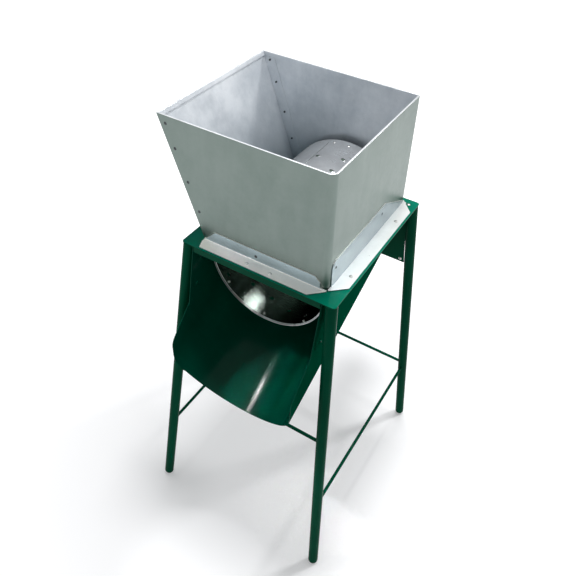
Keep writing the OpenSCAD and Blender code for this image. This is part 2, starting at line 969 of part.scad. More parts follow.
flange_y = panel_y1 + motor_plate_t;
shield_len = 20;
body_y0 = flange_y + shield_len;
body_y1 = body_y0 + motor_len;
rear_shield_len = 12;
cover_y0 = body_y1 + 3;
cover_l = 47;
cover_y1 = cover_y0 + cover_l;
shaft_front = drum_rear - 28;
bearing_r = 23.5;
bearing_w = 12;
rear_bearing_r = 17.5;
rear_shaft_r = 7.5;
bolt6_r = 3;
body_wall = 5;
rotor_r = 30;
winding_len = 16;
motor_plate_top_in = 4;
bolt_past = 9;
nut_t = 6;
motor_flange_t = 9;
pilot_h = 2.5;
shaft_room = 1.5;
fin_t = 2;
fin_in = 3;
pad_w = 52;
pad_l = 48;
pad_sink = 8;
air_gap = 1;
winding_gap = 5;
winding_in = 3;
rear_boss_wall = 6;
rear_boss_h = 3;
rear_bearing_w = 10.8;
key_w = 6;
key_l = 28;
key_in = 8;
key_depth = 3.5;
end_bolt_l = 20;
end_washer_r = 15;
end_washer_t = 3;
fan_gap = 5;
fan_hub_r = 14;
fan_hub_l = 22;
fan_disc_r = 46;
fan_disc_t = 2;
fan_blade_r = 50;
fan_blade_h = 20;
cover_t = 1.5;
cover_gap = 0.3;
cover_screw_y = 7.5;
cover_slots = [[18, 32], [37, 52]];
cover_slot_w = 4;
cover_slot_turn = 30;

module motor_plate() {
    color(motor_grey)
        difference() {
            translate([-motor_plate_w / 2, panel_y1, axis_z - motor_plate_reach])
                cube([motor_plate_w, motor_plate_t, motor_plate_reach * 2 - motor_plate_top_in]);
            translate([0, panel_y1 - 1, 0])
                on_axis()
                    cylinder(r = pilot_r + fit_gap, h = motor_plate_t + 2);
            at_flange_bolts()
                translate([0, 0, -20])
                    cylinder(r = bolt6_r + hole_gap, h = 40);
            for (x = [-1, 1] * motor_plate_bolt_x, z = motor_plate_bolt_z)
                translate([x, panel_y1 - 1, z])
                    rotate([-90, 0, 0])
                        cylinder(r = motor_plate_bolt_r + hole_gap, h = motor_plate_t + 2);
        }
}

// Places of the four motor bolts, on the motor plate's front face
module at_flange_bolts() {
    for (a = [45 : 90 : 315])
        translate([motor_pcd / 2 * cos(a), panel_y1, axis_z + motor_pcd / 2 * sin(a)])
            rotate([90, 0, 0])
                children();
}

module motor_flange_bolts() {
    color(steel)
        at_flange_bolts()
            hex_bolt(bolt6_r, motor_plate_t + bolt_past);
}

module motor_plate_bolts() {
    color(steel)
        for (x = [-1, 1] * motor_plate_bolt_x, z = motor_plate_bolt_z)
            translate([x, panel_y0, z])
                rotate([90, 0, 0]) {
                    hex_bolt(motor_plate_bolt_r, panel_t + motor_plate_t + bolt_past);
                    translate([0, 0, -panel_t - motor_plate_t - nut_t])
                        cylinder(r = motor_plate_bolt_r * 1.8, h = nut_t, $fn = 6);
                }
}

// Front bearing shield with its mounting flange
module motor_front_shield() {
    color(motor_grey)
        difference() {
            translate([0, flange_y, 0])
                on_axis() {
                    cylinder(r = motor_flange_r, h = motor_flange_t);
                    translate([0, 0, -pilot_h])
                        cylinder(r = pilot_r, h = pilot_h + 1);
                    translate([0, 0, motor_flange_t - 1])
                        cylinder(r = motor_r, h = shield_len - motor_flange_t + 1 - fit_gap);
                }
            translate([0, flange_y - 5, 0])
                on_axis()
                    cylinder(r = shaft_r + shaft_room, h = 2 * shield_len);
            translate([0, body_y0 - bearing_w, 0])
                on_axis()
                    cylinder(r = bearing_r + fit_gap, h = bearing_w + 5);
            at_flange_bolts()
                translate([0, 0, -motor_plate_t - 10])
                    cylinder(r = bolt6_r + fit_gap, h = 20);
        }
}

pad_top = axis_z + motor_r + fin_h + 2;
box_y = (body_y0 + body_y1) / 2;

// Finned body with a flat pad for the switch box
module motor_body() {
    color(motor_grey)
        difference() {
            union() {
                translate([0, body_y0, 0])
                    on_axis() {
                        cylinder(r = motor_r, h = motor_len);
                        for (i = [0 : fin_count - 1])
                            rotate(i * 360 / fin_count)
                                translate([motor_r - 1, -fin_t / 2, fin_in])
                                    cube([fin_h + 1, fin_t, motor_len - 2 * fin_in]);
                    }
                translate([-pad_w / 2, box_y - pad_l / 2, axis_z + motor_r - pad_sink])
                    cube([pad_w, pad_l, pad_top - axis_z - motor_r + pad_sink]);
            }
            translate([0, body_y0 - 1, 0])
                on_axis()
                    cylinder(r = motor_r - body_wall, h = motor_len + 2);
            at_box_screws()
                translate([0, 0, -box_wall - 7])
                    cylinder(r = screw_r + fit_gap, h = 20);
        }
}

module stator_core() {
    color(steel)
        translate([0, body_y0 + winding_len, 0])
            on_axis()
                ring(motor_r - body_wall - fit_gap, rotor_r + air_gap, motor_len - 2 * winding_len);
}

// Ends of the windings, in front of the stator's core and behind it
module stator_windings() {
    color(copper)
        for (y = [body_y0 + winding_in, body_y1 - winding_len])
            translate([0, y, 0])
                on_axis()
                    ring(motor_r - body_wall - winding_gap, rotor_r + winding_gap, winding_len - winding_in);
}

module rotor_core() {
    color(steel)
        translate([0, body_y0 + winding_len + air_gap, 0])
            on_axis()
                ring(rotor_r, shaft_r + fit_gap, motor_len - 2 * (winding_len + air_gap));
}

module motor_rear_shield() {
    color(motor_grey)
        difference() {
            translate([0, body_y1, 0])
                on_axis() {
                    cylinder(r = motor_r, h = rear_shield_len);
                    translate([0, 0, rear_shield_len - 1])
                        cylinder(r = rear_bearing_r + rear_boss_wall, h = rear_boss_h + 1);
                }
            translate([0, body_y1 - 1, 0])
                on_axis()
                    cylinder(r = rear_shaft_r + shaft_room, h = 3 * rear_shield_len);
            translate([0, body_y1 - 1, 0])
                on_axis()
                    cylinder(r = rear_bearing_r + fit_gap, h = rear_bearing_w + 1.2);
            at_cover_screws()
                translate([0, 0, -8])
                    cylinder(r = screw_r + fit_gap, h = 14);
        }
}

module bearing_front() {
    color(steel)
        translate([0, body_y0 - bearing_w + 0.2, 0])
            on_axis()
                ring(bearing_r, shaft_r + fit_gap, bearing_w - 0.2);
}

module bearing_rear() {
    color(steel)
        translate([0, body_y1, 0])
            on_axis()
                ring(rear_bearing_r, rear_shaft_r + fit_gap, rear_bearing_w);
}

// One stepped shaft that carries the rotor, the drum's hub and the fan
module drive_shaft() {
    color(steel)
        difference() {
            union() {
                translate([0, shaft_front, 0])
                    on_axis()
                        cylinder(r = shaft_r, h = body_y1 - 4 - shaft_front);
                translate([0, body_y1 - 5, 0])
                    on_axis()
                        cylinder(r = rear_shaft_r, h = rear_shield_len + fan_gap + fan_hub_l + 5);
            }
            translate([-key_w / 2, shaft_front + key_in, axis_z + shaft_r - key_depth])
                cube([key_w, key_l, key_depth + 0.5]);
            translate([0, shaft_front - 1, 0])
                on_axis()
                    cylinder(r = bolt6_r + fit_gap, h = end_bolt_l + 1);
        }
}

module shaft_key() {
    color(steel)
        translate([0, shaft_front + key_in, axis_z + shaft_r - key_depth])
            translate([fit_gap - key_w / 2, fit_gap, fit_gap])
                cube([key_w, key_l, key_w] - 2 * fit_gap * [1, 1, 1]);
}

module shaft_end_bolt() {
    color(steel)
        translate([0, shaft_front - 0.3, axis_z])
            rotate([90, 0, 0]) {
                cylinder(r = end_washer_r, h = end_washer_t);
                translate([0, 0, end_washer_t])
                    hex_bolt(bolt6_r, end_bolt_l);
            }
}

// Cooling fan on the shaft's rear end
module cooling_fan() {
    y = body_y1 + rear_shield_len + fan_gap;
    color(black)
        difference() {
            translate([0, y, 0])
                on_axis() {
                    cylinder(r = fan_hub_r, h = fan_hub_l);
                    cylinder(r = fan_disc_r, h = fan_disc_t);
                    for (a = [0 : 45 : 315])
                        rotate(a)
                            translate([fan_hub_r - 2, -fan_disc_t / 2, 0])
                                cube([fan_blade_r - fan_hub_r + 2, fan_disc_t, fan_blade_h]);
                }
            translate([0, y - 1, 0])
                on_axis()
                    cylinder(r = rear_shaft_r + fit_gap, h = fan_hub_l + 2);
        }
}

// Places of the screws round the fan cover, Z pointing outwards
module at_cover_screws() {
    for (a = [0 : 90 : 270])
        translate([0, body_y1 + cover_screw_y, axis_z])
            rotate([0, a + 45, 0])
                translate([0, 0, motor_r + cover_gap + cover_t])
                    children();
}

module fan_cover() {
    color(motor_grey)
        difference() {
            translate([0, cover_y0, 0])
                on_axis()
                    cylinder(r = motor_r + cover_gap + cover_t, h = cover_l);
            translate([0, cover_y0 - 1, 0])
                on_axis()
                    cylinder(r = motor_r + cover_gap, h = cover_l + 1 - cover_t);
            for (a = [0 : cover_slot_turn : 360 - cover_slot_turn])
                translate([0, cover_y1 - 2 * cover_t, 0])
                    on_axis()
                        rotate(a)
                            for (s = cover_slots)
                                translate([s[0], -cover_slot_w / 2, 0])
                                    cube([s[1] - s[0], cover_slot_w, 3 * cover_t]);
            at_cover_screws()
                translate([0, 0, -5])
                    cylinder(r = screw_r + hole_gap, h = 10);
        }
}

module fan_cover_screws() {
    color(steel)
        at_cover_screws()
            pan_screw(3.6, 1.8, screw_r, 8);
}

/* Switch */

box_z0 = pad_top;
box_wall = 3;
floor_z = box_z0 + box_wall;
lid_t = 8;
lid_z = box_z0 + box_h;
button_x = 18;
button_y = box_y - 22;
capacitor_r = 12;
capacitor_l = 58;
capacitor_y = box_y + 18;
capacitor_z = floor_z + capacitor_r + 1;
cradle_x = [-20, 16];
cradle_t = 4;
cradle_h = 10;
post_r = 4.5;
post_in = 7;
post_hole_r = 1.5;
lid_screw_l = 20;
lid_collar = 3;
lid_room_in = 14;
button_room = 0.4;
button_above = 4;
button_rim = 2;
contact_size = [20, 24];

// Places of the two screws through the box's floor into the motor's pad
module at_box_screws() {
    for (y = [button_y, box_y])
        translate([0, y, floor_z])
            children();
}

// Box with corner posts for the lid's screws and two cradles for the capacitor
module switch_box() {
    color(black)
        difference() {
            union() {
                difference() {
                    translate([-box_w / 2, box_y - box_l / 2, box_z0])
                        cube([box_w, box_l, box_h]);
                    translate([-box_w / 2 + box_wall, box_y - box_l / 2 + box_wall, floor_z])
                        cube([box_w - 2 * box_wall, box_l - 2 * box_wall, box_h]);
                }
                for (sx = [-1, 1], sy = [-1, 1])
                    translate([sx * (box_w / 2 - post_in), box_y + sy * (box_l / 2 - post_in), box_z0 + 1])
                        cylinder(r = post_r, h = box_h - 1);
                for (x = cradle_x)
                    translate([x, capacitor_y - capacitor_r, box_z0 + 1])
                        cube([cradle_t, 2 * capacitor_r, cradle_h]);
            }
            translate([-box_w, capacitor_y, capacitor_z])
                rotate([0, 90, 0])
                    cylinder(r = capacitor_r + fit_gap, h = 2 * box_w);
            at_lid_corners()
                translate([0, 0, -lid_screw_l - 4])
                    cylinder(r = post_hole_r, h = lid_screw_l + 10);
            at_box_screws()
                translate([0, 0, -6])
                    cylinder(r = screw_r + hole_gap, h = 8);
            translate([0, box_y + box_l / 2 + 1, gland_z])
                rotate([90, 0, 0])
                    cylinder(r = gland_neck_r + fit_gap, h = box_wall + 2);
        }
}

module switch_box_screws() {
    color(steel)
        at_box_screws()
            pan_screw(screw_head_r - 0.4, 2, screw_r, 9);
}

module at_lid_corners() {
    for (sx = [-1, 1], sy = [-1, 1])
        translate([sx * (box_w / 2 - post_in), box_y + sy * (box_l / 2 - post_in), lid_z + lid_t])
            children();
}

module switch_lid() {
    color(light_grey)
        difference() {
            union() {
                translate([-box_w / 2, box_y - box_l / 2, lid_z])
                    cube([box_w, box_l, lid_t]);
                for (s = [-1, 1])
                    translate([s * button_x, button_y, lid_z])
                        cylinder(r = button_r + lid_collar, h = lid_t + lid_collar);
            }
            translate([-box_w / 2 + lid_room_in, box_y, lid_z - 1])
                cube([box_w - 2 * lid_room_in, box_l / 2 - box_wall - 2, lid_t - 2]);
            for (s = [-1, 1])
                translate([s * button_x, button_y, lid_z - 1])
                    cylinder(r = button_r + button_room, h = lid_t + lid_collar + 3);
            at_lid_corners()
                translate([0, 0, -lid_screw_l])
                    cylinder(r = post_hole_r, h = lid_screw_l + 10);
        }
}

module switch_lid_screws() {
    color(steel)
        at_lid_corners()
            pan_screw(2 * post_hole_r, 1.4, post_hole_r - fit_gap, lid_screw_l);
}

// Two switch blocks on the box's floor, one under each button
module contact_blocks() {
    top = lid_z - button_collar - button_travel - 1;
    color(light_grey)
        for (s = [-1, 1])
            translate([s * button_x - contact_size[0] / 2, button_y - contact_size[1] / 2, floor_z])
                cube([contact_size[0], contact_size[1], top - floor_z]);
}

module start_capacitor() {
    color(black)
        translate([-capacitor_l / 2, capacitor_y, capacitor_z])
            rotate([0, 90, 0])
                cylinder(r = capacitor_r, h = capacitor_l);
}

gland_r = 9;
gland_bore_r = 4;
gland_neck_r = 7;
gland_neck_l = 8;
gland_nut_l = 6;
gland_body_l = 8;
gland_cone_l = 4;
gland_z = box_z0 + box_h / 2;

// Cable gland in the box's rear wall
module cable_gland() {
    color(black)
        translate([0, box_y + box_l / 2, gland_z])
            rotate([-90, 0, 0])
                difference() {
                    union() {
                        translate([0, 0, -gland_neck_l])
                            cylinder(r = gland_neck_r, h = gland_neck_l + 0.1);
                        cylinder(r = gland_r + 2, h = gland_nut_l, $fn = 6);
                        translate([0, 0, gland_nut_l])
                            cylinder(r = gland_r, h = gland_body_l);
                        translate([0, 0, gland_nut_l + gland_body_l])
                            cylinder(r1 = gland_r, r2 = gland_neck_r - 1, h = gland_cone_l);
                    }
                    translate([0, 0, -gland_neck_l - 1])
                        cylinder(r = gland_bore_r, h = 3 * gland_neck_l + gland_nut_l);
                }
}

button_collar = 4;

// A push button: a cap that stands in the lid, with a collar that stays below it
module button(s, tint) {
    low = lid_z - button_collar;
    color(tint)
        translate([s * button_x, button_y, low]) {
            cylinder(r = button_r, h = button_collar + lid_t + lid_collar + button_above);
            cylinder(r = button_r + button_rim, h = button_collar - button_room);
        }
}

module start_button() button(1, [0.1, 0.5, 0.2]);
module stop_button() button(-1, [0.75, 0.1, 0.08]);

/* Drum */

drum_len = drum_front + drum_rear;
drum_inner = drum_r - drum_t;
first_tooth = [81, 105];
tooth_foot_r = 6;
tooth_tip_r = 2;
tooth_zone = [-drum_front + 18, drum_rear - 58];
tooth_angle = 360 / tooth_cols;
seam_from = 107;
seam_to = 122;
hoop_rivets = 8;
disc_rivets = 24;
disc_rim = 22;
disc_t = 2;
disc_y = drum_rear - 4;
seam_in = 4;
seam_rear_in = 20;
first_hoop_rivet = -139;
first_disc_rivet = 87;
disc_rivet_in = 15;
hub_l = 40;
hub_flange_t = 7;
hub_bolt_in = 10;
hub_bolt_l = 18;
hub_nut_t = 5;

// Every tooth: [angle from +X towards +Z, y]
function column_teeth(c) =
    let (a = first_tooth[0] - tooth_angle * c,
         base = first_tooth[1] + tooth_step * c - tooth_zone[0],
         low = tooth_zone[0] + base - tooth_pitch * floor(base / tooth_pitch))
    [for (y = [low : tooth_pitch : tooth_zone[1]]) [a, y]];

half_cols = floor(tooth_cols / 2);
teeth = [for (c = [1 - half_cols : tooth_cols - half_cols]) each column_teeth(c)];

// Puts a child on the drum's surface: its X points outwards, its Z along the drum
module at_drum(angle, y, r) {
    on_axis()
        rotate(-angle)
            translate([r, 0, y])
                children();
}

// A punched tooth's raised edge, on the side that follows the hole
module tooth_lip() {
    translate([-1, tooth_hole_r, 0])
        rotate([0, 90, 0])
            cylinder(r1 = tooth_foot_r, r2 = tooth_tip_r, h = tooth_h + 1, $fn = 32);
}

module tooth_hole() {
    rotate([0, 90, 0])
        translate([0, 0, -6])
            cylinder(r = tooth_hole_r, h = tooth_h + 12, $fn = 32);
}

module at_hoop_rivets(r) {
    for (i = [0 : hoop_rivets - 1])
        at_drum(first_hoop_rivet + i * 360 / hoop_rivets, -drum_front + hoop_in + hoop_w / 2, r)
            rotate([0, 90, 0])
                children();
}

module at_disc_rivets(r) {
    for (i = [0 : disc_rivets - 1])
        at_drum(first_disc_rivet + i * 360 / disc_rivets, drum_rear - disc_rivet_in, r)
            rotate([0, 90, 0])
                children();
}

module drum_shell() {
    color(steel)
        difference() {
            union() {
                translate([0, -drum_front, 0])
                    on_axis()
                        ring(drum_r, drum_inner, drum_len);
                for (t = teeth)
                    at_drum(t[0], t[1], drum_r)
                        tooth_lip();
            }
            for (t = teeth)
                at_drum(t[0], t[1], drum_r)
                    tooth_hole();
            at_hoop_rivets(drum_r)
                rivet_hole();
            at_disc_rivets(drum_r)
                rivet_hole();
        }
}

// Lap of the drum's sheet along its seam
module drum_seam_strip() {
    color(steel)
        translate([0, -drum_front + seam_in, 0])
            on_axis()
                rotate(-seam_to)
                    rotate_extrude(angle = seam_to - seam_from, $fn = 144)
                        translate([drum_r + fit_gap, 0])
                            square([drum_t, drum_len - seam_in - seam_rear_in]);
}

module drum_front_hoop() {
    color(steel)
        difference() {
            translate([0, -drum_front + hoop_in, 0])
                on_axis()
                    ring(drum_inner - fit_gap, drum_inner - hoop_t, hoop_w);
            at_hoop_rivets(drum_r)
                rivet_hole();
        }
}

module drum_rear_disc() {
    outer = drum_inner - fit_gap;
    color(steel)
        difference() {
            translate([0, disc_y, 0])
                on_axis() {
                    cylinder(r = outer, h = disc_t);
                    translate([0, 0, disc_t - disc_rim])
                        ring(outer, outer - disc_t, disc_rim);
                }
            translate([0, disc_y - 5, 0])
                on_axis()
                    cylinder(r = hub_r + fit_gap, h = 20);
            at_disc_rivets(drum_r)
                rivet_hole();
            at_hub_bolts()
                translate([0, 0, -10])
                    cylinder(r = bolt6_r + hole_gap, h = 20);
        }
}

module drum_rivets() {
    color(steel) {
        at_hoop_rivets(drum_r + 0.05)
            rivet(drum_t + hoop_t + 0.2);
        at_disc_rivets(drum_r + 0.05)
            rivet(drum_t + disc_t + 0.2);
    }
}

// Bolts through the rear disc and the hub's flange, heads behind the drum
module at_hub_bolts() {
    for (a = [0 : 60 : 300])
        translate([
            (hub_flange_r - hub_bolt_in) * cos(a), disc_y + disc_t,
            axis_z + (hub_flange_r - hub_bolt_in) * sin(a)
        ])
            rotate([-90, 0, 0])
                children();
}

module drum_hub() {
    color(steel)
        difference() {
            union() {
                translate([0, shaft_front + 4, 0])
                    on_axis()
                        cylinder(r = hub_r, h = hub_l);
                translate([0, disc_y - hub_flange_t, 0])
                    on_axis()
                        cylinder(r = hub_flange_r, h = hub_flange_t);
            }
            translate([0, shaft_front - 5, 0])
                on_axis()
                    cylinder(r = shaft_r + fit_gap, h = hub_l + 20);
            translate([-key_w / 2, shaft_front, axis_z])
                cube([key_w, hub_l + 20, shaft_r - key_depth + key_w + 0.5]);
            at_hub_bolts()
                translate([0, 0, -20])
                    cylinder(r = bolt6_r + hole_gap, h = 40);
        }
}

module hub_bolts() {
    color(steel)
        at_hub_bolts() {
            hex_bolt(bolt6_r, hub_bolt_l);
            translate([0, 0, -disc_t - hub_flange_t - hub_nut_t])
                cylinder(r = bolt6_r * 1.8, h = hub_nut_t, $fn = 6);
        }
}

top_plate();
leg_front_left();
leg_front_right();
leg_rear_left();
leg_rear_right();
foot_plugs();
brace_front();
brace_left();
brace_right();
brace_rear();
rear_panel();
rear_panel_screws();
plate_screws();
hopper_body();
hopper_left_wall();
hopper_rivets();
strip_front();
strip_right();
strip_left();
strip_rear();
strip_screws();
strip_rivets();
chute();
chute_lugs();
chute_screws();
motor_plate();
motor_plate_bolts();
motor_front_shield();
motor_body();
stator_core();
stator_windings();
motor_rear_shield();
motor_flange_bolts();
bearing_front();
bearing_rear();
fan_cover();
fan_cover_screws();
switch_box();
switch_box_screws();
switch_lid();
switch_lid_screws();
contact_blocks();
start_capacitor();
cable_gland();
drum_shell();
drum_seam_strip();
drum_front_hoop();
drum_rear_disc();
drum_rivets();
drum_hub();
hub_bolts();
drive_shaft();
shaft_key();
shaft_end_bolt();
rotor_core();
cooling_fan();
start_button();
stop_button();
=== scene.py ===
"""Fruit mill: finishes, detailed pieces, stage, lights and camera around the mill's frame.

Every length is in metres, in the frame's own axes: X to the right, Y to the motor, Z up.
"""

import json
import math

import bmesh
import bpy
from mathutils import Matrix, Vector


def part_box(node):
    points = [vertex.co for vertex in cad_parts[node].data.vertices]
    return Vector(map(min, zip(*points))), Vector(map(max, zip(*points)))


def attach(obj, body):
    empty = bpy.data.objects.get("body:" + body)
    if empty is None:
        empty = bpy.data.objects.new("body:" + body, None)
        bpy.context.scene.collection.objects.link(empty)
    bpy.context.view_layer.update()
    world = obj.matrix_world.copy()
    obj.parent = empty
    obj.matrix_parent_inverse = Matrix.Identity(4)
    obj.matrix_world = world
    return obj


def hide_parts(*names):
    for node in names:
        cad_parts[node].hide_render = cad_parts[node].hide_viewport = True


bl_info = {
    "name": "Fruit Mill",
    "version": (1, 0, 0),
    "blender": (4, 5, 0),
    "location": "View3D > Sidebar > Mill",
    "description": "Builds the looks of an electric fruit mill around its frame",
    "category": "Object",
}

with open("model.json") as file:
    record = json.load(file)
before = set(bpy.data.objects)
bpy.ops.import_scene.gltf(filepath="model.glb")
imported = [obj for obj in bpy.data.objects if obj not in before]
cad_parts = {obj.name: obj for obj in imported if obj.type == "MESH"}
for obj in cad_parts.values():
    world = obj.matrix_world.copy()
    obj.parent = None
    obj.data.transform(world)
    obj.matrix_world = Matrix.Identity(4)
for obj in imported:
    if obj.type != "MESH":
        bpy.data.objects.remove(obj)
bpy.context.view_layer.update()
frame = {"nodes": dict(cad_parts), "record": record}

# The frame's bodies that pieces ride on, where each button is a body of its own name, and each
# node's material slot
STAND = "stand"
DRUM = "drum"
SLOTS = {part["node"]: part["material_slot"] for part in frame["record"]["subparts"]}

# Where the lamps aim, and the places from which a sheet's inner side is told from its outer one
MILL_MIDDLE = (0.0, 0.0, 0.8)
HOPPER_MIDDLE = (0.0, 0.01, 0.97)
CHUTE_MIDDLE = (0.0, -0.1, 0.85)
DRUM_MIDDLE = (0.0, 0.0, 0.812)
DRUM_RADIUS = 0.139

# The heights between which the hopper's inner walls take painted shade, darker towards the foot:
# its foot, and where the painted shade ends
SHADE_FOOT = 0.84
SHADE_TOP = 1.02

# Folds sharper than SHARP are edges, and folds flatter than FLAT are no folds
SHARP = math.radians(35)
FLAT = math.radians(0.6)
SAME_POINT = 0.000005
CLOSE = 0.0002

# The least lengths of the edges that get rounded, by the kind of piece
FOLD_LENGTH = 0.15
SHEET_EDGE = 0.02
TABLE_EDGE = 0.008
PLATE_EDGE = 0.006

# How a face of the drum's sheet is told to be a hole's wall: it hardly looks out from the
# drum's axis, and it isn't the sheet's end, which looks straight along the axis
WALL_OUTWARD = 0.3
END_ALONG = 0.999

# A face of the chute that looks sideways or down by more than this can be on its outer side
CHUTE_OUTWARD = 0.3

# The photograph's width in pixels, and the lens that the camera fit gave for it
PHOTO_WIDTH = 576
SENSOR_MM = 36.0
FOCAL_PX = 615.78
CENTRE_PX = (286.1, 275.8)


class StageSettings(bpy.types.PropertyGroup):
    """Camera, lights and floor"""

    eye: bpy.props.FloatVectorProperty(
        name="Eye", description="Where the camera stands", subtype="TRANSLATION", unit="LENGTH",
        default=(0.4967, -0.9553, 1.6449))
    right: bpy.props.FloatVectorProperty(
        name="Right", description="The picture's right, as a direction", subtype="DIRECTION",
        default=(0.85167, 0.52261, 0.03910))
    up: bpy.props.FloatVectorProperty(
        name="Up", description="The picture's up, as a direction", subtype="DIRECTION",
        default=(-0.37471, 0.55508, 0.74261))
    floor_radius: bpy.props.FloatProperty(
        name="Floor radius", description="Radius of the pale floor", unit="LENGTH", default=9.0)
    floor_colour: bpy.props.FloatVectorProperty(
        name="Floor", description="Colour of the floor", subtype="COLOR",
        default=(0.76, 0.76, 0.77))
    floor_glow: bpy.props.FloatVectorProperty(
        name="Floor glow", description="Lift of the floor to the white backdrop, under the mill"
        " and far from it", size=2, default=(0.25, 0.80))
    glow_reach: bpy.props.FloatVectorProperty(
        name="Glow reach", description="Distances from the mill's middle between which the"
        " floor's lift grows", size=2, unit="LENGTH", default=(0.4, 1.7))
    key_watts: bpy.props.FloatProperty(
        name="Key light", description="Power of the soft light overhead", unit="POWER",
        default=54.0)
    side_watts: bpy.props.FloatProperty(
        name="Side light", description="Power of the light behind the mill on its right",
        unit="POWER", default=36.0)
    front_watts: bpy.props.FloatProperty(
        name="Front light", description="Power of the small light at the left front",
        unit="POWER", default=0.13)
    drum_watts: bpy.props.FloatProperty(
        name="Drum light", description="Power of the small light on the drum's inside",
        unit="POWER", default=0.045)
    sky_top: bpy.props.FloatProperty(
        name="Sky overhead", description="Strength of the light from above", default=0.50)
    sky_side: bpy.props.FloatProperty(
        name="Sky at the sides", description="Strength of the light from the sides",
        default=0.22)


class EdgeSettings(bpy.types.PropertyGroup):
    """Radii of the rounded edges, and the teeth's height"""

    rim: bpy.props.FloatProperty(
        name="Hopper rim", description="Radius of the edges of the hopper's rim and folds",
        unit="LENGTH", default=0.0013)
    table: bpy.props.FloatProperty(
        name="Table edge", description="Radius of the bend round the table's plate",
        unit="LENGTH", default=0.0014)
    sheet: bpy.props.FloatProperty(
        name="Sheet edge", description="Radius of the cut edges of thin sheet",
        unit="LENGTH", default=0.0004)
    plate: bpy.props.FloatProperty(
        name="Plate edge", description="Radius of the edges of the motor's plate",
        unit="LENGTH", default=0.0008)
    case: bpy.props.FloatProperty(
        name="Case edge", description="Radius of the edges of the switch box and its lid",
        unit="LENGTH", default=0.0012)
    button: bpy.props.FloatProperty(
        name="Button edge", description="Radius of the buttons' upper edges",
        unit="LENGTH", default=0.0007)
    tooth_height: bpy.props.FloatProperty(
        name="Tooth height", description="Height of the drum's teeth, as a part of what the"
        " frame's teeth have", subtype="FACTOR", min=0.0, max=1.0, default=0.3)


class FinishSettings(bpy.types.PropertyGroup):
    """Base colours of the finishes"""

    enamel: bpy.props.FloatVectorProperty(
        name="Enamel", description="Green enamel in the light", subtype="COLOR",
        default=(0.0, 0.175, 0.110))
    enamel_dark: bpy.props.FloatVectorProperty(
        name="Dark enamel", description="Green enamel in its darker patches", subtype="COLOR",
        default=(0.0, 0.13, 0.075))
    # The legs' enamel, also used as painted shade on the plate's faces that don't look up
    leg_enamel: bpy.props.FloatVectorProperty(
        name="Leg enamel", description="Green enamel of the legs, braces and upright faces",
        subtype="COLOR", default=(0.0, 0.085, 0.042))
    # Painted shade: the chute's darker enamel inside its trough
    shaded_enamel: bpy.props.FloatVectorProperty(
        name="Stained enamel", description="The chute's enamel inside, stained by juice",
        subtype="COLOR", default=(0.0, 0.066, 0.038))
    zinc: bpy.props.FloatVectorProperty(
        name="Zinc", description="Galvanised sheet outside, light patches", subtype="COLOR",
        default=(0.205, 0.247, 0.229))
    zinc_dark: bpy.props.FloatVectorProperty(
        name="Dull zinc", description="Galvanised sheet outside, dull patches", subtype="COLOR",
        default=(0.150, 0.190, 0.173))
    # Painted light: the far paler zinc of the hopper's inner walls and upward faces
    zinc_inside_light: bpy.props.FloatVectorProperty(
        name="Scoured zinc", description="Galvanised sheet that fruit has scoured bright",
        subtype="COLOR", default=(0.80, 0.83, 0.86))
    # Random duller patches of that painted light
    zinc_dull_inside_light: bpy.props.FloatVectorProperty(
        name="Stained zinc", description="Duller patches of the scoured sheet",
        subtype="COLOR", default=(0.60, 0.64, 0.68))
    # Painted shade on the hopper's inner walls, towards their foot
    zinc_foot_shade: bpy.props.FloatVectorProperty(
        name="Wet zinc", description="The hopper's sheet inside its foot, darkened by juice",
        subtype="COLOR", default=(0.13, 0.185, 0.22))
    strip_zinc: bpy.props.FloatVectorProperty(
        name="Strip zinc", description="The newer galvanised strips round the hopper's foot",
        subtype="COLOR", default=(0.235, 0.29, 0.315))
    # Painted light on the strips' feet, which look up
    strip_lit_top: bpy.props.FloatVectorProperty(
        name="Bright strip", description="The strips' feet, rubbed bright", subtype="COLOR",
        default=(0.78, 0.80, 0.79))
    # Painted light on the front strip's foot, with a warmer tint
    strip_lit_top_warm: bpy.props.FloatVectorProperty(
        name="Warm strip", description="The front strip's foot, rubbed and a little stained",
        subtype="COLOR", default=(0.96, 0.94, 0.88))
    stainless: bpy.props.FloatVectorProperty(
        name="Stainless", description="The drum's sheet outside", subtype="COLOR",
        default=(0.46, 0.475, 0.49))
    # Painted shade and a painted reflection of the green chute, inside the drum
    stainless_shaded: bpy.props.FloatVectorProperty(
        name="Stainless inside", description="The drum's sheet inside", subtype="COLOR",
        default=(0.36, 0.42, 0.385))


def shade(colour, factor):
    """The colour, darker or lighter by a factor."""
    return tuple(factor * channel for channel in colour)


def add_node(tree, kind, inputs=None, **settings):
    """Adds a shader node, with its settings and the constant values of its sockets."""
    node = tree.nodes.new(kind)
    for name, value in settings.items():
        setattr(node, name, value)
    for name, value in (inputs or {}).items():
        node.inputs[name].default_value = value
    return node


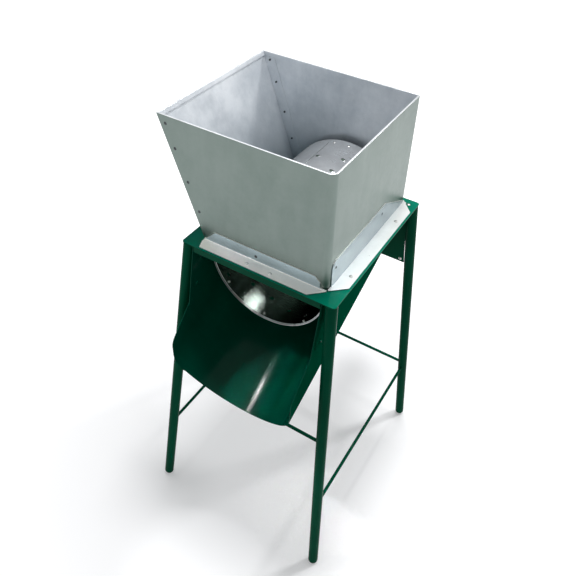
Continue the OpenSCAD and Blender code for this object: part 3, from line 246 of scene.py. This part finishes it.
class Finish:
    """A material under construction: one principled shader, fed by patterns that lie on the
    object's own coordinates."""

    # The sockets of a colour Mix node
    MIX_FACTOR, MIX_FIRST, MIX_SECOND, MIX_RESULT = 0, 6, 7, 2

    def __init__(self, name, base, metallic, roughness, **extra):
        self.material = bpy.data.materials.new(name)
        self.material.use_nodes = True
        self.tree = self.material.node_tree
        self.shader = self.tree.nodes["Principled BSDF"]
        self.shader.inputs["Base Color"].default_value = (*base, 1.0)
        self.shader.inputs["Metallic"].default_value = metallic
        self.shader.inputs["Roughness"].default_value = roughness
        for socket, value in extra.items():
            self.shader.inputs[socket.replace("_", " ")].default_value = value
        coordinates = add_node(self.tree, "ShaderNodeTexCoord")
        self.place = coordinates.outputs["Object"]
        self.normal = coordinates.outputs["Normal"]
        self.material.diffuse_color = (*base, 1.0)

    def feed(self, value, node, socket):
        """Links another node's output to a socket, or sets the socket to a constant."""
        if isinstance(value, bpy.types.NodeSocket):
            self.tree.links.new(value, node.inputs[socket])
        else:
            node.inputs[socket].default_value = value

    def colour(self, source):
        """What gives the shader its colour."""
        self.feed(source, self.shader, "Base Color")

    def metal(self, source):
        """What gives the shader its metallic share."""
        self.feed(source, self.shader, "Metallic")

    def gloss(self, source):
        """What gives the shader its roughness."""
        self.feed(source, self.shader, "Roughness")

    def relief(self, height, depth, strength=1.0):
        """Bumps of the given depth in metres."""
        node = add_node(self.tree, "ShaderNodeBump", {"Strength": strength, "Distance": depth})
        self.feed(height, node, "Height")
        self.feed(node.outputs["Normal"], self.shader, "Normal")

    def noise(self, scale, detail=3.0, roughness=0.5, stretch=(1, 1, 1)):
        """Cloudy noise with scale features a metre, its coordinates multiplied by stretch."""
        mapping = add_node(self.tree, "ShaderNodeMapping", {"Scale": stretch})
        self.feed(self.place, mapping, "Vector")
        node = add_node(self.tree, "ShaderNodeTexNoise",
                        {"Scale": scale, "Detail": detail, "Roughness": roughness})
        self.feed(mapping.outputs["Vector"], node, "Vector")
        return node.outputs["Fac"]

    def cells(self, scale):
        """Crystal-like cells, with scale cells a metre."""
        node = add_node(self.tree, "ShaderNodeTexVoronoi", {"Scale": scale})
        self.feed(self.place, node, "Vector")
        return node.outputs["Color"]

    def spread(self, factor, low, high, start=0.0, end=1.0):
        """The factor's stretch from start to end, as values from low to high."""
        node = add_node(self.tree, "ShaderNodeMapRange",
                        {"From Min": start, "From Max": end, "To Min": low, "To Max": high})
        self.feed(factor, node, "Value")
        return node.outputs["Result"]

    def patches(self, noise, low=0.0, high=1.0, start=0.3, end=0.7):
        """Values from low to high over the middle of a noise, which seldom leaves it."""
        return self.spread(noise, low, high, start, end)

    def blend(self, factor, first, second):
        """A colour between two colours or colour sockets."""
        node = add_node(self.tree, "ShaderNodeMix", data_type="RGBA")
        for socket, value in ((self.MIX_FIRST, first), (self.MIX_SECOND, second)):
            plain = not isinstance(value, bpy.types.NodeSocket)
            self.feed((*value, 1.0) if plain else value, node, socket)
        self.feed(factor, node, self.MIX_FACTOR)
        return node.outputs[self.MIX_RESULT]

    def maths(self, first, second, operation="ADD"):
        """The sum of two values, or what another operation makes of them."""
        node = add_node(self.tree, "ShaderNodeMath", operation=operation)
        self.feed(first, node, 0)
        self.feed(second, node, 1)
        return node.outputs[0]

    def inward(self, centre):
        """One on the faces that look at the centre, and none elsewhere."""
        away = add_node(self.tree, "ShaderNodeVectorMath", operation="SUBTRACT")
        self.feed(self.place, away, 0)
        self.feed(centre, away, 1)
        dot = add_node(self.tree, "ShaderNodeVectorMath", operation="DOT_PRODUCT")
        self.feed(away.outputs[0], dot, 0)
        self.feed(self.normal, dot, 1)
        return self.maths(dot.outputs["Value"], 0.0, "LESS_THAN")

    def upward(self):
        """One on the faces that look up, and none elsewhere."""
        node = add_node(self.tree, "ShaderNodeSeparateXYZ")
        self.feed(self.normal, node, 0)
        return self.maths(node.outputs["Z"], 0.5, "GREATER_THAN")

    def height(self):
        """The height above the floor, in metres."""
        node = add_node(self.tree, "ShaderNodeSeparateXYZ")
        self.feed(self.place, node, 0)
        return node.outputs["Z"]


def enamel_finish(name, light, dark, gloss=0.025, skirt=None):
    """Gloss enamel over sheet and tube: cloudy colour, orange peel and dust. The darker colour
    for the faces that don't look up, where one is given, is painted shade."""
    finish = Finish(name, light, metallic=0.0, roughness=0.14, Specular_IOR_Level=gloss)
    cloud = finish.patches(finish.noise(scale=7.0, detail=4.0))
    colour = finish.blend(cloud, dark, light)
    # Painted shade: the faces that don't look up take the darker colour, with the same cloudy
    # tone
    if skirt:
        upright = finish.blend(cloud, shade(skirt, 0.8), skirt)
        colour = finish.blend(finish.upward(), upright, colour)
    finish.colour(colour)
    dust = finish.noise(scale=38.0, detail=4.0)
    finish.gloss(finish.patches(dust, low=0.10, high=0.20, start=0.25, end=0.75))
    peel = finish.noise(scale=420.0, detail=2.0)
    waves = finish.spread(finish.noise(scale=22.0, detail=2.0), low=0.0, high=2.5)
    finish.relief(finish.maths(peel, waves), depth=0.00006, strength=0.3)
    return finish.material


def zinc_finish(name, light, dark, roughness=(0.30, 0.46), bright=None, inside=None):
    """Galvanised sheet: faint spangles, rolling streaks and clouds. Bright is painted light: the
    paler colour of the faces that look up. Inside holds the dull and the clean colour of the
    faces that look at the hopper's middle, both painted light, and the painted shade that they
    take towards their foot."""
    finish = Finish(name, light, metallic=1.0, roughness=0.4)
    spangle = finish.cells(scale=120.0)
    cloud = finish.noise(scale=9.0, detail=6.0, roughness=0.68)
    streak = finish.noise(scale=160.0, roughness=0.6, stretch=(1, 1, 0.12))
    rolled = finish.noise(scale=24.0, detail=4.0, roughness=0.6, stretch=(1, 1, 0.3))
    tone = finish.maths(finish.patches(cloud, high=0.8, start=0.34, end=0.66),
                        finish.spread(spangle, low=0.0, high=0.2))
    tone = finish.maths(tone, finish.spread(streak, low=-0.1, high=0.1))
    tone = finish.maths(tone, finish.patches(rolled, low=-0.2, high=0.2))
    colour = finish.blend(tone, dark, light)
    # Painted light on the faces that look at the hopper's middle: paler zinc with less metal, in
    # random dull and clean patches, and painted shade that darkens them towards their foot
    if inside:
        dull, clean, shaded_foot = inside
        painted_light = finish.inward(HOPPER_MIDDLE)
        drift = finish.spread(finish.noise(scale=6.0), low=-0.05, high=0.05)
        painted_shade = finish.spread(finish.maths(finish.height(), drift), low=0.92, high=0.0,
                              start=SHADE_FOOT, end=SHADE_TOP)
        walls = finish.blend(painted_shade, finish.blend(tone, dull, clean), shaded_foot)
        colour = finish.blend(painted_light, colour, walls)
        finish.metal(finish.spread(painted_light, low=1.0, high=0.55))
    # Painted light: the faces that look up take a paler colour and less metal
    if bright:
        lit_tops = finish.upward()
        lit = finish.blend(tone, shade(bright, 0.86), bright)
        colour = finish.blend(lit_tops, colour, lit)
        if not inside:
            finish.metal(finish.spread(lit_tops, low=1.0, high=0.3))
    finish.colour(colour)
    rough = finish.maths(finish.patches(cloud, *roughness),
                         finish.spread(spangle, low=-0.03, high=0.03))
    finish.gloss(finish.maths(rough, finish.spread(streak, low=-0.03, high=0.04)))
    waves = finish.noise(scale=5.0, detail=1.0)
    finish.relief(finish.maths(waves, finish.spread(streak, low=0.0, high=0.004)),
                  depth=0.0035, strength=0.35)
    return finish.material


def stainless_finish(name, colour, inside):
    """Rolled stainless sheet with fine scratches round the drum and water marks, and with a
    higher polish on its inner side, whose darker, greener colour is painted shade and a painted
    reflection of the green chute."""
    finish = Finish(name, colour, metallic=1.0, roughness=0.3)
    lines = finish.noise(scale=70.0, detail=4.0, roughness=0.6, stretch=(0.6, 14.0, 0.6))
    marks = finish.noise(scale=16.0, detail=5.0, roughness=0.65)
    tone = finish.maths(finish.patches(marks, low=0.1, end=0.62),
                        finish.spread(lines, low=-0.15, high=0.1))
    inner = finish.inward(DRUM_MIDDLE)
    # Painted shade and a painted green reflection: the inner side takes the darker, greener
    # colour
    finish.colour(finish.blend(inner, finish.blend(tone, shade(colour, 0.72), colour), inside))
    finish.metal(finish.spread(inner, low=0.7, high=1.0))
    rough = finish.maths(finish.patches(marks, low=0.36, high=0.24),
                         finish.spread(lines, low=-0.04, high=0.06))
    finish.gloss(finish.maths(rough, finish.spread(inner, low=1.0, high=0.25), "MULTIPLY"))
    waves = finish.spread(finish.noise(scale=14.0, detail=2.0), low=0.0, high=6.0)
    finish.relief(finish.maths(lines, waves), depth=0.0004, strength=0.4)
    return finish.material


def steel_finish(name, colour, roughness):
    """Bright or phosphated steel of screws, rivets and shafts, with grime in its pores."""
    finish = Finish(name, colour, metallic=1.0, roughness=roughness)
    grime = finish.noise(scale=260.0, detail=4.0, roughness=0.6)
    finish.colour(finish.blend(finish.patches(grime, end=0.65), shade(colour, 0.55), colour))
    finish.gloss(finish.patches(grime, low=roughness + 0.12, high=roughness - 0.06))
    finish.relief(grime, depth=0.0001, strength=0.3)
    return finish.material


def cast_finish(name, colour, roughness, metallic=0.0):
    """Painted or bare castings with a sandy skin."""
    finish = Finish(name, colour, metallic=metallic, roughness=roughness)
    cloud = finish.noise(scale=30.0)
    finish.colour(finish.blend(finish.patches(cloud), shade(colour, 0.7), colour))
    finish.gloss(finish.patches(cloud, low=roughness - 0.08, high=roughness + 0.1))
    finish.relief(finish.noise(scale=900.0), depth=0.0002, strength=0.4)
    return finish.material


def plastic_finish(name, colour, roughness):
    """Moulded plastic with a fine spark texture."""
    finish = Finish(name, colour, metallic=0.0, roughness=roughness)
    cloud = finish.noise(scale=40.0)
    finish.colour(finish.blend(finish.patches(cloud), shade(colour, 0.85), colour))
    finish.gloss(finish.patches(cloud, low=roughness - 0.05, high=roughness + 0.06))
    finish.relief(finish.noise(scale=1400.0, detail=2.0), depth=0.00008, strength=0.3)
    return finish.material


def make_finishes(settings):
    """One material for each of the record's slots, and the others that some nodes take."""
    made = {}

    def make(kind, name, *colours, **options):
        made[name] = kind(name, *colours, **options)

    leg = tuple(settings.leg_enamel)
    # The plate's green, with painted shade in the leg green on its faces that don't look up
    make(enamel_finish, "green_paint", tuple(settings.enamel), tuple(settings.enamel_dark),
         skirt=leg)
    make(enamel_finish, "dark_green_paint", leg, shade(leg, 0.72), gloss=0.012)
    make(enamel_finish, "chute_outside", leg, shade(leg, 0.7), gloss=0.0)
    # Painted shade: the chute's trough and edges take a darker enamel
    stained = tuple(settings.shaded_enamel)
    make(enamel_finish, "chute_paint", stained, shade(stained, 0.7), gloss=0.055)

    # Painted light: the pale zinc of the hopper's inner walls and upward faces, with painted
    # shade towards their foot
    painted_light = tuple(settings.zinc_inside_light)
    inside = (tuple(settings.zinc_dull_inside_light), painted_light, tuple(settings.zinc_foot_shade))
    make(zinc_finish, "galvanised_sheet", tuple(settings.zinc), tuple(settings.zinc_dark),
         bright=painted_light, inside=inside)
    strip = tuple(settings.strip_zinc)
    make(zinc_finish, "strip_zinc", strip, shade(strip, 0.8), roughness=(0.28, 0.38),
         bright=tuple(settings.strip_lit_top))
    # Painted light: the front strip takes a paler copy of the strips' zinc
    make(zinc_finish, "front_strip_zinc", shade(strip, 1.9), shade(strip, 1.5),
         roughness=(0.30, 0.42), bright=tuple(settings.strip_lit_top_warm))

    make(stainless_finish, "stainless_sheet", tuple(settings.stainless),
         tuple(settings.stainless_shaded))
    # Painted shade on the walls of the drum's tooth holes
    make(steel_finish, "hole_edge", (0.02, 0.022, 0.02), roughness=0.7)
    make(steel_finish, "bright_steel", (0.62, 0.62, 0.6), roughness=0.28)
    make(steel_finish, "rivet_steel", (0.10, 0.11, 0.115), roughness=0.5)
    make(steel_finish, "laminated_steel", (0.3, 0.3, 0.31), roughness=0.45)
    make(steel_finish, "copper_winding", (0.6, 0.25, 0.12), roughness=0.35)
    make(cast_finish, "cast_hub", (0.3, 0.3, 0.31), roughness=0.5, metallic=0.6)
    make(cast_finish, "motor_paint", (0.09, 0.11, 0.13), roughness=0.42)
    make(plastic_finish, "black_plastic", (0.018, 0.018, 0.02), roughness=0.42)
    make(plastic_finish, "grey_plastic", (0.5, 0.51, 0.51), roughness=0.38)
    make(plastic_finish, "green_button_plastic", (0.01, 0.25, 0.05), roughness=0.25)
    make(plastic_finish, "red_button_plastic", (0.5, 0.012, 0.008), roughness=0.25)
    return made


# The nodes that take another finish than their slot's
NODE_FINISHES = {
    # Painted shade on the chute's trough
    "chute": "chute_paint",
    "chute_lugs": "chute_outside",
    "strip_front": "front_strip_zinc",
    "strip_right": "strip_zinc",
    "strip_left": "strip_zinc",
    "strip_rear": "strip_zinc",
    "hopper_rivets": "rivet_steel",
    "strip_rivets": "rivet_steel",
}


class MILL_OT_finishes(bpy.types.Operator):
    """Make every material and give each piece of the frame its own"""

    bl_idname = "mill.finishes"
    bl_label = "Finishes"

    def execute(self, context):
        materials = make_finishes(context.scene.mill_finish)
        for node, slot_name in SLOTS.items():
            for slot in frame["nodes"][node].material_slots:
                slot.material = materials[NODE_FINISHES.get(node, slot_name)]
        return {"FINISHED"}


def long_edge(length):
    """Picks the edges that are longer than this."""
    return lambda edge: edge.calc_length() > length


def top_edge(height, length=0.0):
    """Picks the edges that lie at the height and are longer than the length."""
    return lambda edge: (edge.calc_length() > length
                         and all(abs(vert.co.z - height) < CLOSE for vert in edge.verts))


def rounded(node, name, pick=None, radius=0.0, segments=3, body=STAND):
    """A copy of a node's shape, with the edges that pick chooses rounded and its curves
    smooth."""
    source = frame["nodes"][node]
    mesh = bmesh.new()
    mesh.from_mesh(source.data)
    bmesh.ops.remove_doubles(mesh, verts=mesh.verts, dist=SAME_POINT)
    bmesh.ops.dissolve_limit(mesh, angle_limit=FLAT, verts=mesh.verts, edges=mesh.edges)
    if pick:
        edges = [edge for edge in mesh.edges
                 if len(edge.link_faces) == 2 and edge.calc_face_angle(0.0) > SHARP
                 and pick(edge)]
        bmesh.ops.bevel(mesh, geom=edges, offset=radius, segments=segments, profile=0.5,
                        affect="EDGES", material=-1, clamp_overlap=True)
    for face in mesh.faces:
        face.smooth = True
    for edge in mesh.edges:
        edge.smooth = edge.calc_face_angle(0.0) < SHARP
    data = bpy.data.meshes.new(name)
    mesh.to_mesh(data)
    mesh.free()
    piece = bpy.data.objects.new(name, data)
    bpy.context.collection.objects.link(piece)
    weighted = piece.modifiers.new("weighted", "WEIGHTED_NORMAL")
    weighted.keep_sharp = True
    for slot in source.material_slots:
        data.materials.append(slot.material)
    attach(piece, body)
    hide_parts(node)
    return piece


def paint_faces(piece, material, pick):
    """Gives the faces that pick chooses a second material."""
    piece.data.materials.append(bpy.data.materials[material])
    for face in piece.data.polygons:
        if pick(face):
            face.material_index = 1


def outer_side(face):
    """Whether a face of the chute looks away from its trough, to a side or down."""
    away = face.center - Vector(CHUTE_MIDDLE)
    return (face.normal.dot(away) > 0
            and max(abs(face.normal.x), -face.normal.z) > CHUTE_OUTWARD)


def hole_wall(face):
    """Whether a face of the drum's sheet is the wall of a tooth's hole."""
    out = Vector((face.center.x - DRUM_MIDDLE[0], 0.0, face.center.z - DRUM_MIDDLE[2]))
    return (abs(face.normal.dot(out.normalized())) < WALL_OUTWARD
            and abs(face.normal.y) < END_ALONG and out.length < DRUM_RADIUS)


def lower_teeth(drum, kept):
    """Presses the teeth's raised edges closer to the drum's sheet, to a part of their height."""
    for vert in drum.vertices:
        across = Vector((vert.co.x - DRUM_MIDDLE[0], vert.co.z - DRUM_MIDDLE[2]))
        if across.length > DRUM_RADIUS + CLOSE:
            lowered = across * ((DRUM_RADIUS + kept * (across.length - DRUM_RADIUS))
                                / across.length)
            vert.co.x = DRUM_MIDDLE[0] + lowered.x
            vert.co.z = DRUM_MIDDLE[2] + lowered.y


class MILL_OT_hopper(bpy.types.Operator):
    """Round the rim and the folds of the hopper's two sheets"""

    bl_idname = "mill.hopper"
    bl_label = "Hopper"

    def execute(self, context):
        radius = context.scene.mill_edges.rim
        on_rim = top_edge(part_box("hopper_body")[1][2])
        is_fold = long_edge(FOLD_LENGTH)
        rounded("hopper_body", "hopper_walls", on_rim, radius)
        rounded("hopper_left_wall", "slanted_wall",
                lambda edge: on_rim(edge) or is_fold(edge), radius)
        return {"FINISHED"}


class MILL_OT_table(bpy.types.Operator):
    """Round the table's plate and the strips that hold the hopper on it"""

    bl_idname = "mill.table"
    bl_label = "Table"

    def execute(self, context):
        edges = context.scene.mill_edges
        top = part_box("top_plate")[1][2]
        rounded("top_plate", "table_plate", top_edge(top, TABLE_EDGE), edges.table)
        for side in ("front", "right", "left", "rear"):
            rounded(f"strip_{side}", f"base_strip_{side}", long_edge(SHEET_EDGE), edges.sheet,
                    segments=2)
        return {"FINISHED"}


class MILL_OT_chute(bpy.types.Operator):
    """Smooth the chute's trough and paint its outer side"""

    bl_idname = "mill.chute"
    bl_label = "Chute"

    def execute(self, context):
        trough = rounded("chute", "chute_trough")
        paint_faces(trough, "chute_outside", outer_side)
        return {"FINISHED"}


class MILL_OT_drum(bpy.types.Operator):
    """Smooth the drum's sheet and hoop, lower its teeth and paint shade on the walls of their
    holes
    """

    bl_idname = "mill.drum"
    bl_label = "Drum"

    def execute(self, context):
        sheet = rounded("drum_shell", "drum_sheet", body=DRUM)
        lower_teeth(sheet.data, context.scene.mill_edges.tooth_height)
        paint_faces(sheet, "hole_edge", hole_wall)
        rounded("drum_front_hoop", "drum_hoop", body=DRUM)
        return {"FINISHED"}


class MILL_OT_drive(bpy.types.Operator):
    """Round the edges of the motor's plate, rear panel, switch box and its lid, and smooth the
    fan cover
    """

    bl_idname = "mill.drive"
    bl_label = "Drive"

    def execute(self, context):
        edges = context.scene.mill_edges
        rounded("motor_plate", "drive_plate", long_edge(PLATE_EDGE), edges.plate, segments=2)
        rounded("rear_panel", "apron", long_edge(SHEET_EDGE), edges.sheet, segments=2)
        rounded("switch_box", "switch_case", long_edge(SHEET_EDGE), edges.case)
        rounded("switch_lid", "switch_cover", long_edge(SHEET_EDGE), edges.case)
        rounded("fan_cover", "fan_cowl")
        return {"FINISHED"}


class MILL_OT_buttons(bpy.types.Operator):
    """Round the upper edges of the start and stop buttons"""

    bl_idname = "mill.buttons"
    bl_label = "Buttons"

    def execute(self, context):
        for name in ("start", "stop"):
            button = f"{name}_button"
            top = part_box(button)[1][2]
            rounded(button, f"{name}_cap", top_edge(top), context.scene.mill_edges.button,
                    body=button)
        return {"FINISHED"}


def area_light(name, place, target, size, watts, spread=math.pi):
    """A rectangular lamp that points at a target, its light narrowed to the spread."""
    lamp = bpy.data.lights.new(name, "AREA")
    lamp.shape = "RECTANGLE"
    lamp.size, lamp.size_y = size
    lamp.energy = watts
    lamp.spread = spread
    holder = bpy.data.objects.new(name, lamp)
    holder.location = place
    aim = Vector(target) - Vector(place)
    holder.rotation_euler = aim.to_track_quat("-Z", "Y").to_euler()
    bpy.context.collection.objects.link(holder)


def add_lights(settings):
    """A soft light overhead, one from the rear right, and two small ones for highlights."""
    area_light("key", place=(-0.12, 0.25, 3.3), target=MILL_MIDDLE, size=(0.45, 0.45),
               watts=settings.key_watts)
    area_light("side", place=(1.1, 1.7, 2.85), target=MILL_MIDDLE, size=(0.34, 0.34),
               watts=settings.side_watts)
    # The streak that shines on the chute's right wall
    area_light("front", place=(-0.98, -0.78, 2.11), target=(0.016, -0.215, 0.474),
               size=(0.04, 0.3), watts=settings.front_watts, spread=math.radians(10.5))
    # The highlight on the floor of the open drum, from just under its ceiling
    area_light("drum", place=(-0.007, 0.022, 0.92), target=(0.035, -0.163, 0.68),
               size=(0.07, 0.004), watts=settings.drum_watts)


def add_camera(settings):
    """The camera at the photograph's place, with its lens and framing."""
    lens = bpy.data.cameras.new("camera")
    lens.sensor_width = SENSOR_MM
    lens.lens = SENSOR_MM * FOCAL_PX / PHOTO_WIDTH
    lens.shift_x = (PHOTO_WIDTH / 2 - CENTRE_PX[0]) / PHOTO_WIDTH
    lens.shift_y = (CENTRE_PX[1] - PHOTO_WIDTH / 2) / PHOTO_WIDTH
    camera = bpy.data.objects.new("camera", lens)
    right = Vector(settings.right).normalized()
    up = Vector(settings.up).normalized()
    turn = Matrix((right, up, right.cross(up))).transposed()
    camera.matrix_world = Matrix.Translation(Vector(settings.eye)) @ turn.to_4x4()
    bpy.context.collection.objects.link(camera)
    bpy.context.scene.camera = camera


def backdrop_rays(tree):
    """One for the rays that show the backdrop: straight to the camera, by gloss or through
    glass."""
    rays = add_node(tree, "ShaderNodeLightPath")
    total = rays.outputs["Is Camera Ray"]
    for name in ("Is Glossy Ray", "Is Transmission Ray"):
        node = add_node(tree, "ShaderNodeMath", operation="ADD", use_clamp=True)
        tree.links.new(total, node.inputs[0])
        tree.links.new(rays.outputs[name], node.inputs[1])
        total = node.outputs[0]
    return total


def add_floor(settings):
    """A pale round floor that keeps the mill's soft shadow and fades to the white backdrop."""
    mesh = bmesh.new()
    bmesh.ops.create_circle(mesh, cap_ends=True, segments=96, radius=settings.floor_radius)
    data = bpy.data.meshes.new("floor")
    mesh.to_mesh(data)
    mesh.free()
    floor = bpy.data.objects.new("floor", data)
    bpy.context.collection.objects.link(floor)
    finish = Finish("floor", tuple(settings.floor_colour), metallic=0.0, roughness=0.8,
                    Specular_IOR_Level=0.0)
    tree = finish.tree
    distance = add_node(tree, "ShaderNodeVectorMath", operation="LENGTH")
    finish.feed(finish.place, distance, 0)
    lift = finish.spread(distance.outputs["Value"], *settings.floor_glow, *settings.glow_reach)
    glow = add_node(tree, "ShaderNodeEmission")
    finish.feed(finish.maths(backdrop_rays(tree), lift, "MULTIPLY"), glow, "Strength")
    both = add_node(tree, "ShaderNodeAddShader")
    finish.feed(finish.shader.outputs[0], both, 0)
    finish.feed(glow.outputs[0], both, 1)
    finish.feed(both.outputs[0], tree.nodes["Material Output"], "Surface")
    data.materials.append(finish.material)


def add_world(settings):
    """White behind the mill, and a soft light that comes mostly from above."""
    world = bpy.data.worlds.new("studio")
    world.use_nodes = True
    tree = world.node_tree
    light = tree.nodes["Background"]
    light.inputs["Color"].default_value = (0.96, 0.98, 1.0, 1.0)
    height = add_node(tree, "ShaderNodeSeparateXYZ")
    tree.links.new(add_node(tree, "ShaderNodeTexCoord").outputs["Generated"], height.inputs[0])
    strength = add_node(tree, "ShaderNodeMapRange",
                        {"To Min": settings.sky_side, "To Max": settings.sky_top})
    tree.links.new(height.outputs["Z"], strength.inputs["Value"])
    tree.links.new(strength.outputs["Result"], light.inputs["Strength"])
    white = add_node(tree, "ShaderNodeBackground", {"Color": (1, 1, 1, 1), "Strength": 1.0})
    mix = add_node(tree, "ShaderNodeMixShader")
    tree.links.new(backdrop_rays(tree), mix.inputs[0])
    tree.links.new(light.outputs[0], mix.inputs[1])
    tree.links.new(white.outputs[0], mix.inputs[2])
    tree.links.new(mix.outputs[0], tree.nodes["World Output"].inputs["Surface"])
    bpy.context.scene.world = world


class MILL_OT_stage(bpy.types.Operator):
    """Set up the floor, the soft lights and the camera"""

    bl_idname = "mill.stage"
    bl_label = "Stage"

    def execute(self, context):
        settings = context.scene.mill_stage
        context.scene.view_settings.view_transform = "Standard"
        add_camera(settings)
        add_floor(settings)
        add_world(settings)
        add_lights(settings)
        return {"FINISHED"}


class MILL_PT_panel(bpy.types.Panel):
    """Lists the mill's operators and settings in the 3D view's sidebar"""

    bl_label = "Fruit Mill"
    bl_idname = "MILL_PT_panel"
    bl_space_type = "VIEW_3D"
    bl_region_type = "UI"
    bl_category = "Mill"

    def draw(self, context):
        for operator in OPERATORS:
            self.layout.operator(operator.bl_idname)
        for name in SETTINGS:
            settings = getattr(context.scene, name)
            for prop in settings.bl_rna.properties:
                if prop.identifier not in ("rna_type", "name"):
                    self.layout.prop(settings, prop.identifier)


OPERATORS = (MILL_OT_finishes, MILL_OT_hopper, MILL_OT_table, MILL_OT_chute, MILL_OT_drum,
             MILL_OT_drive, MILL_OT_buttons, MILL_OT_stage)
SETTINGS = {"mill_finish": FinishSettings, "mill_edges": EdgeSettings,
            "mill_stage": StageSettings}
CLASSES = (*SETTINGS.values(), *OPERATORS, MILL_PT_panel)


def register():
    for cls in CLASSES:
        bpy.utils.register_class(cls)
    for name, group in SETTINGS.items():
        setattr(bpy.types.Scene, name, bpy.props.PointerProperty(type=group))


def unregister():
    for name in SETTINGS:
        delattr(bpy.types.Scene, name)
    for cls in reversed(CLASSES):
        bpy.utils.unregister_class(cls)


def main():
    """Registers everything and builds the scene in order."""
    register()
    bpy.ops.mill.finishes()
    bpy.ops.mill.hopper()
    bpy.ops.mill.table()
    bpy.ops.mill.chute()
    bpy.ops.mill.drum()
    bpy.ops.mill.drive()
    bpy.ops.mill.buttons()
    bpy.ops.mill.stage()


if __name__ == "__main__":
    main()
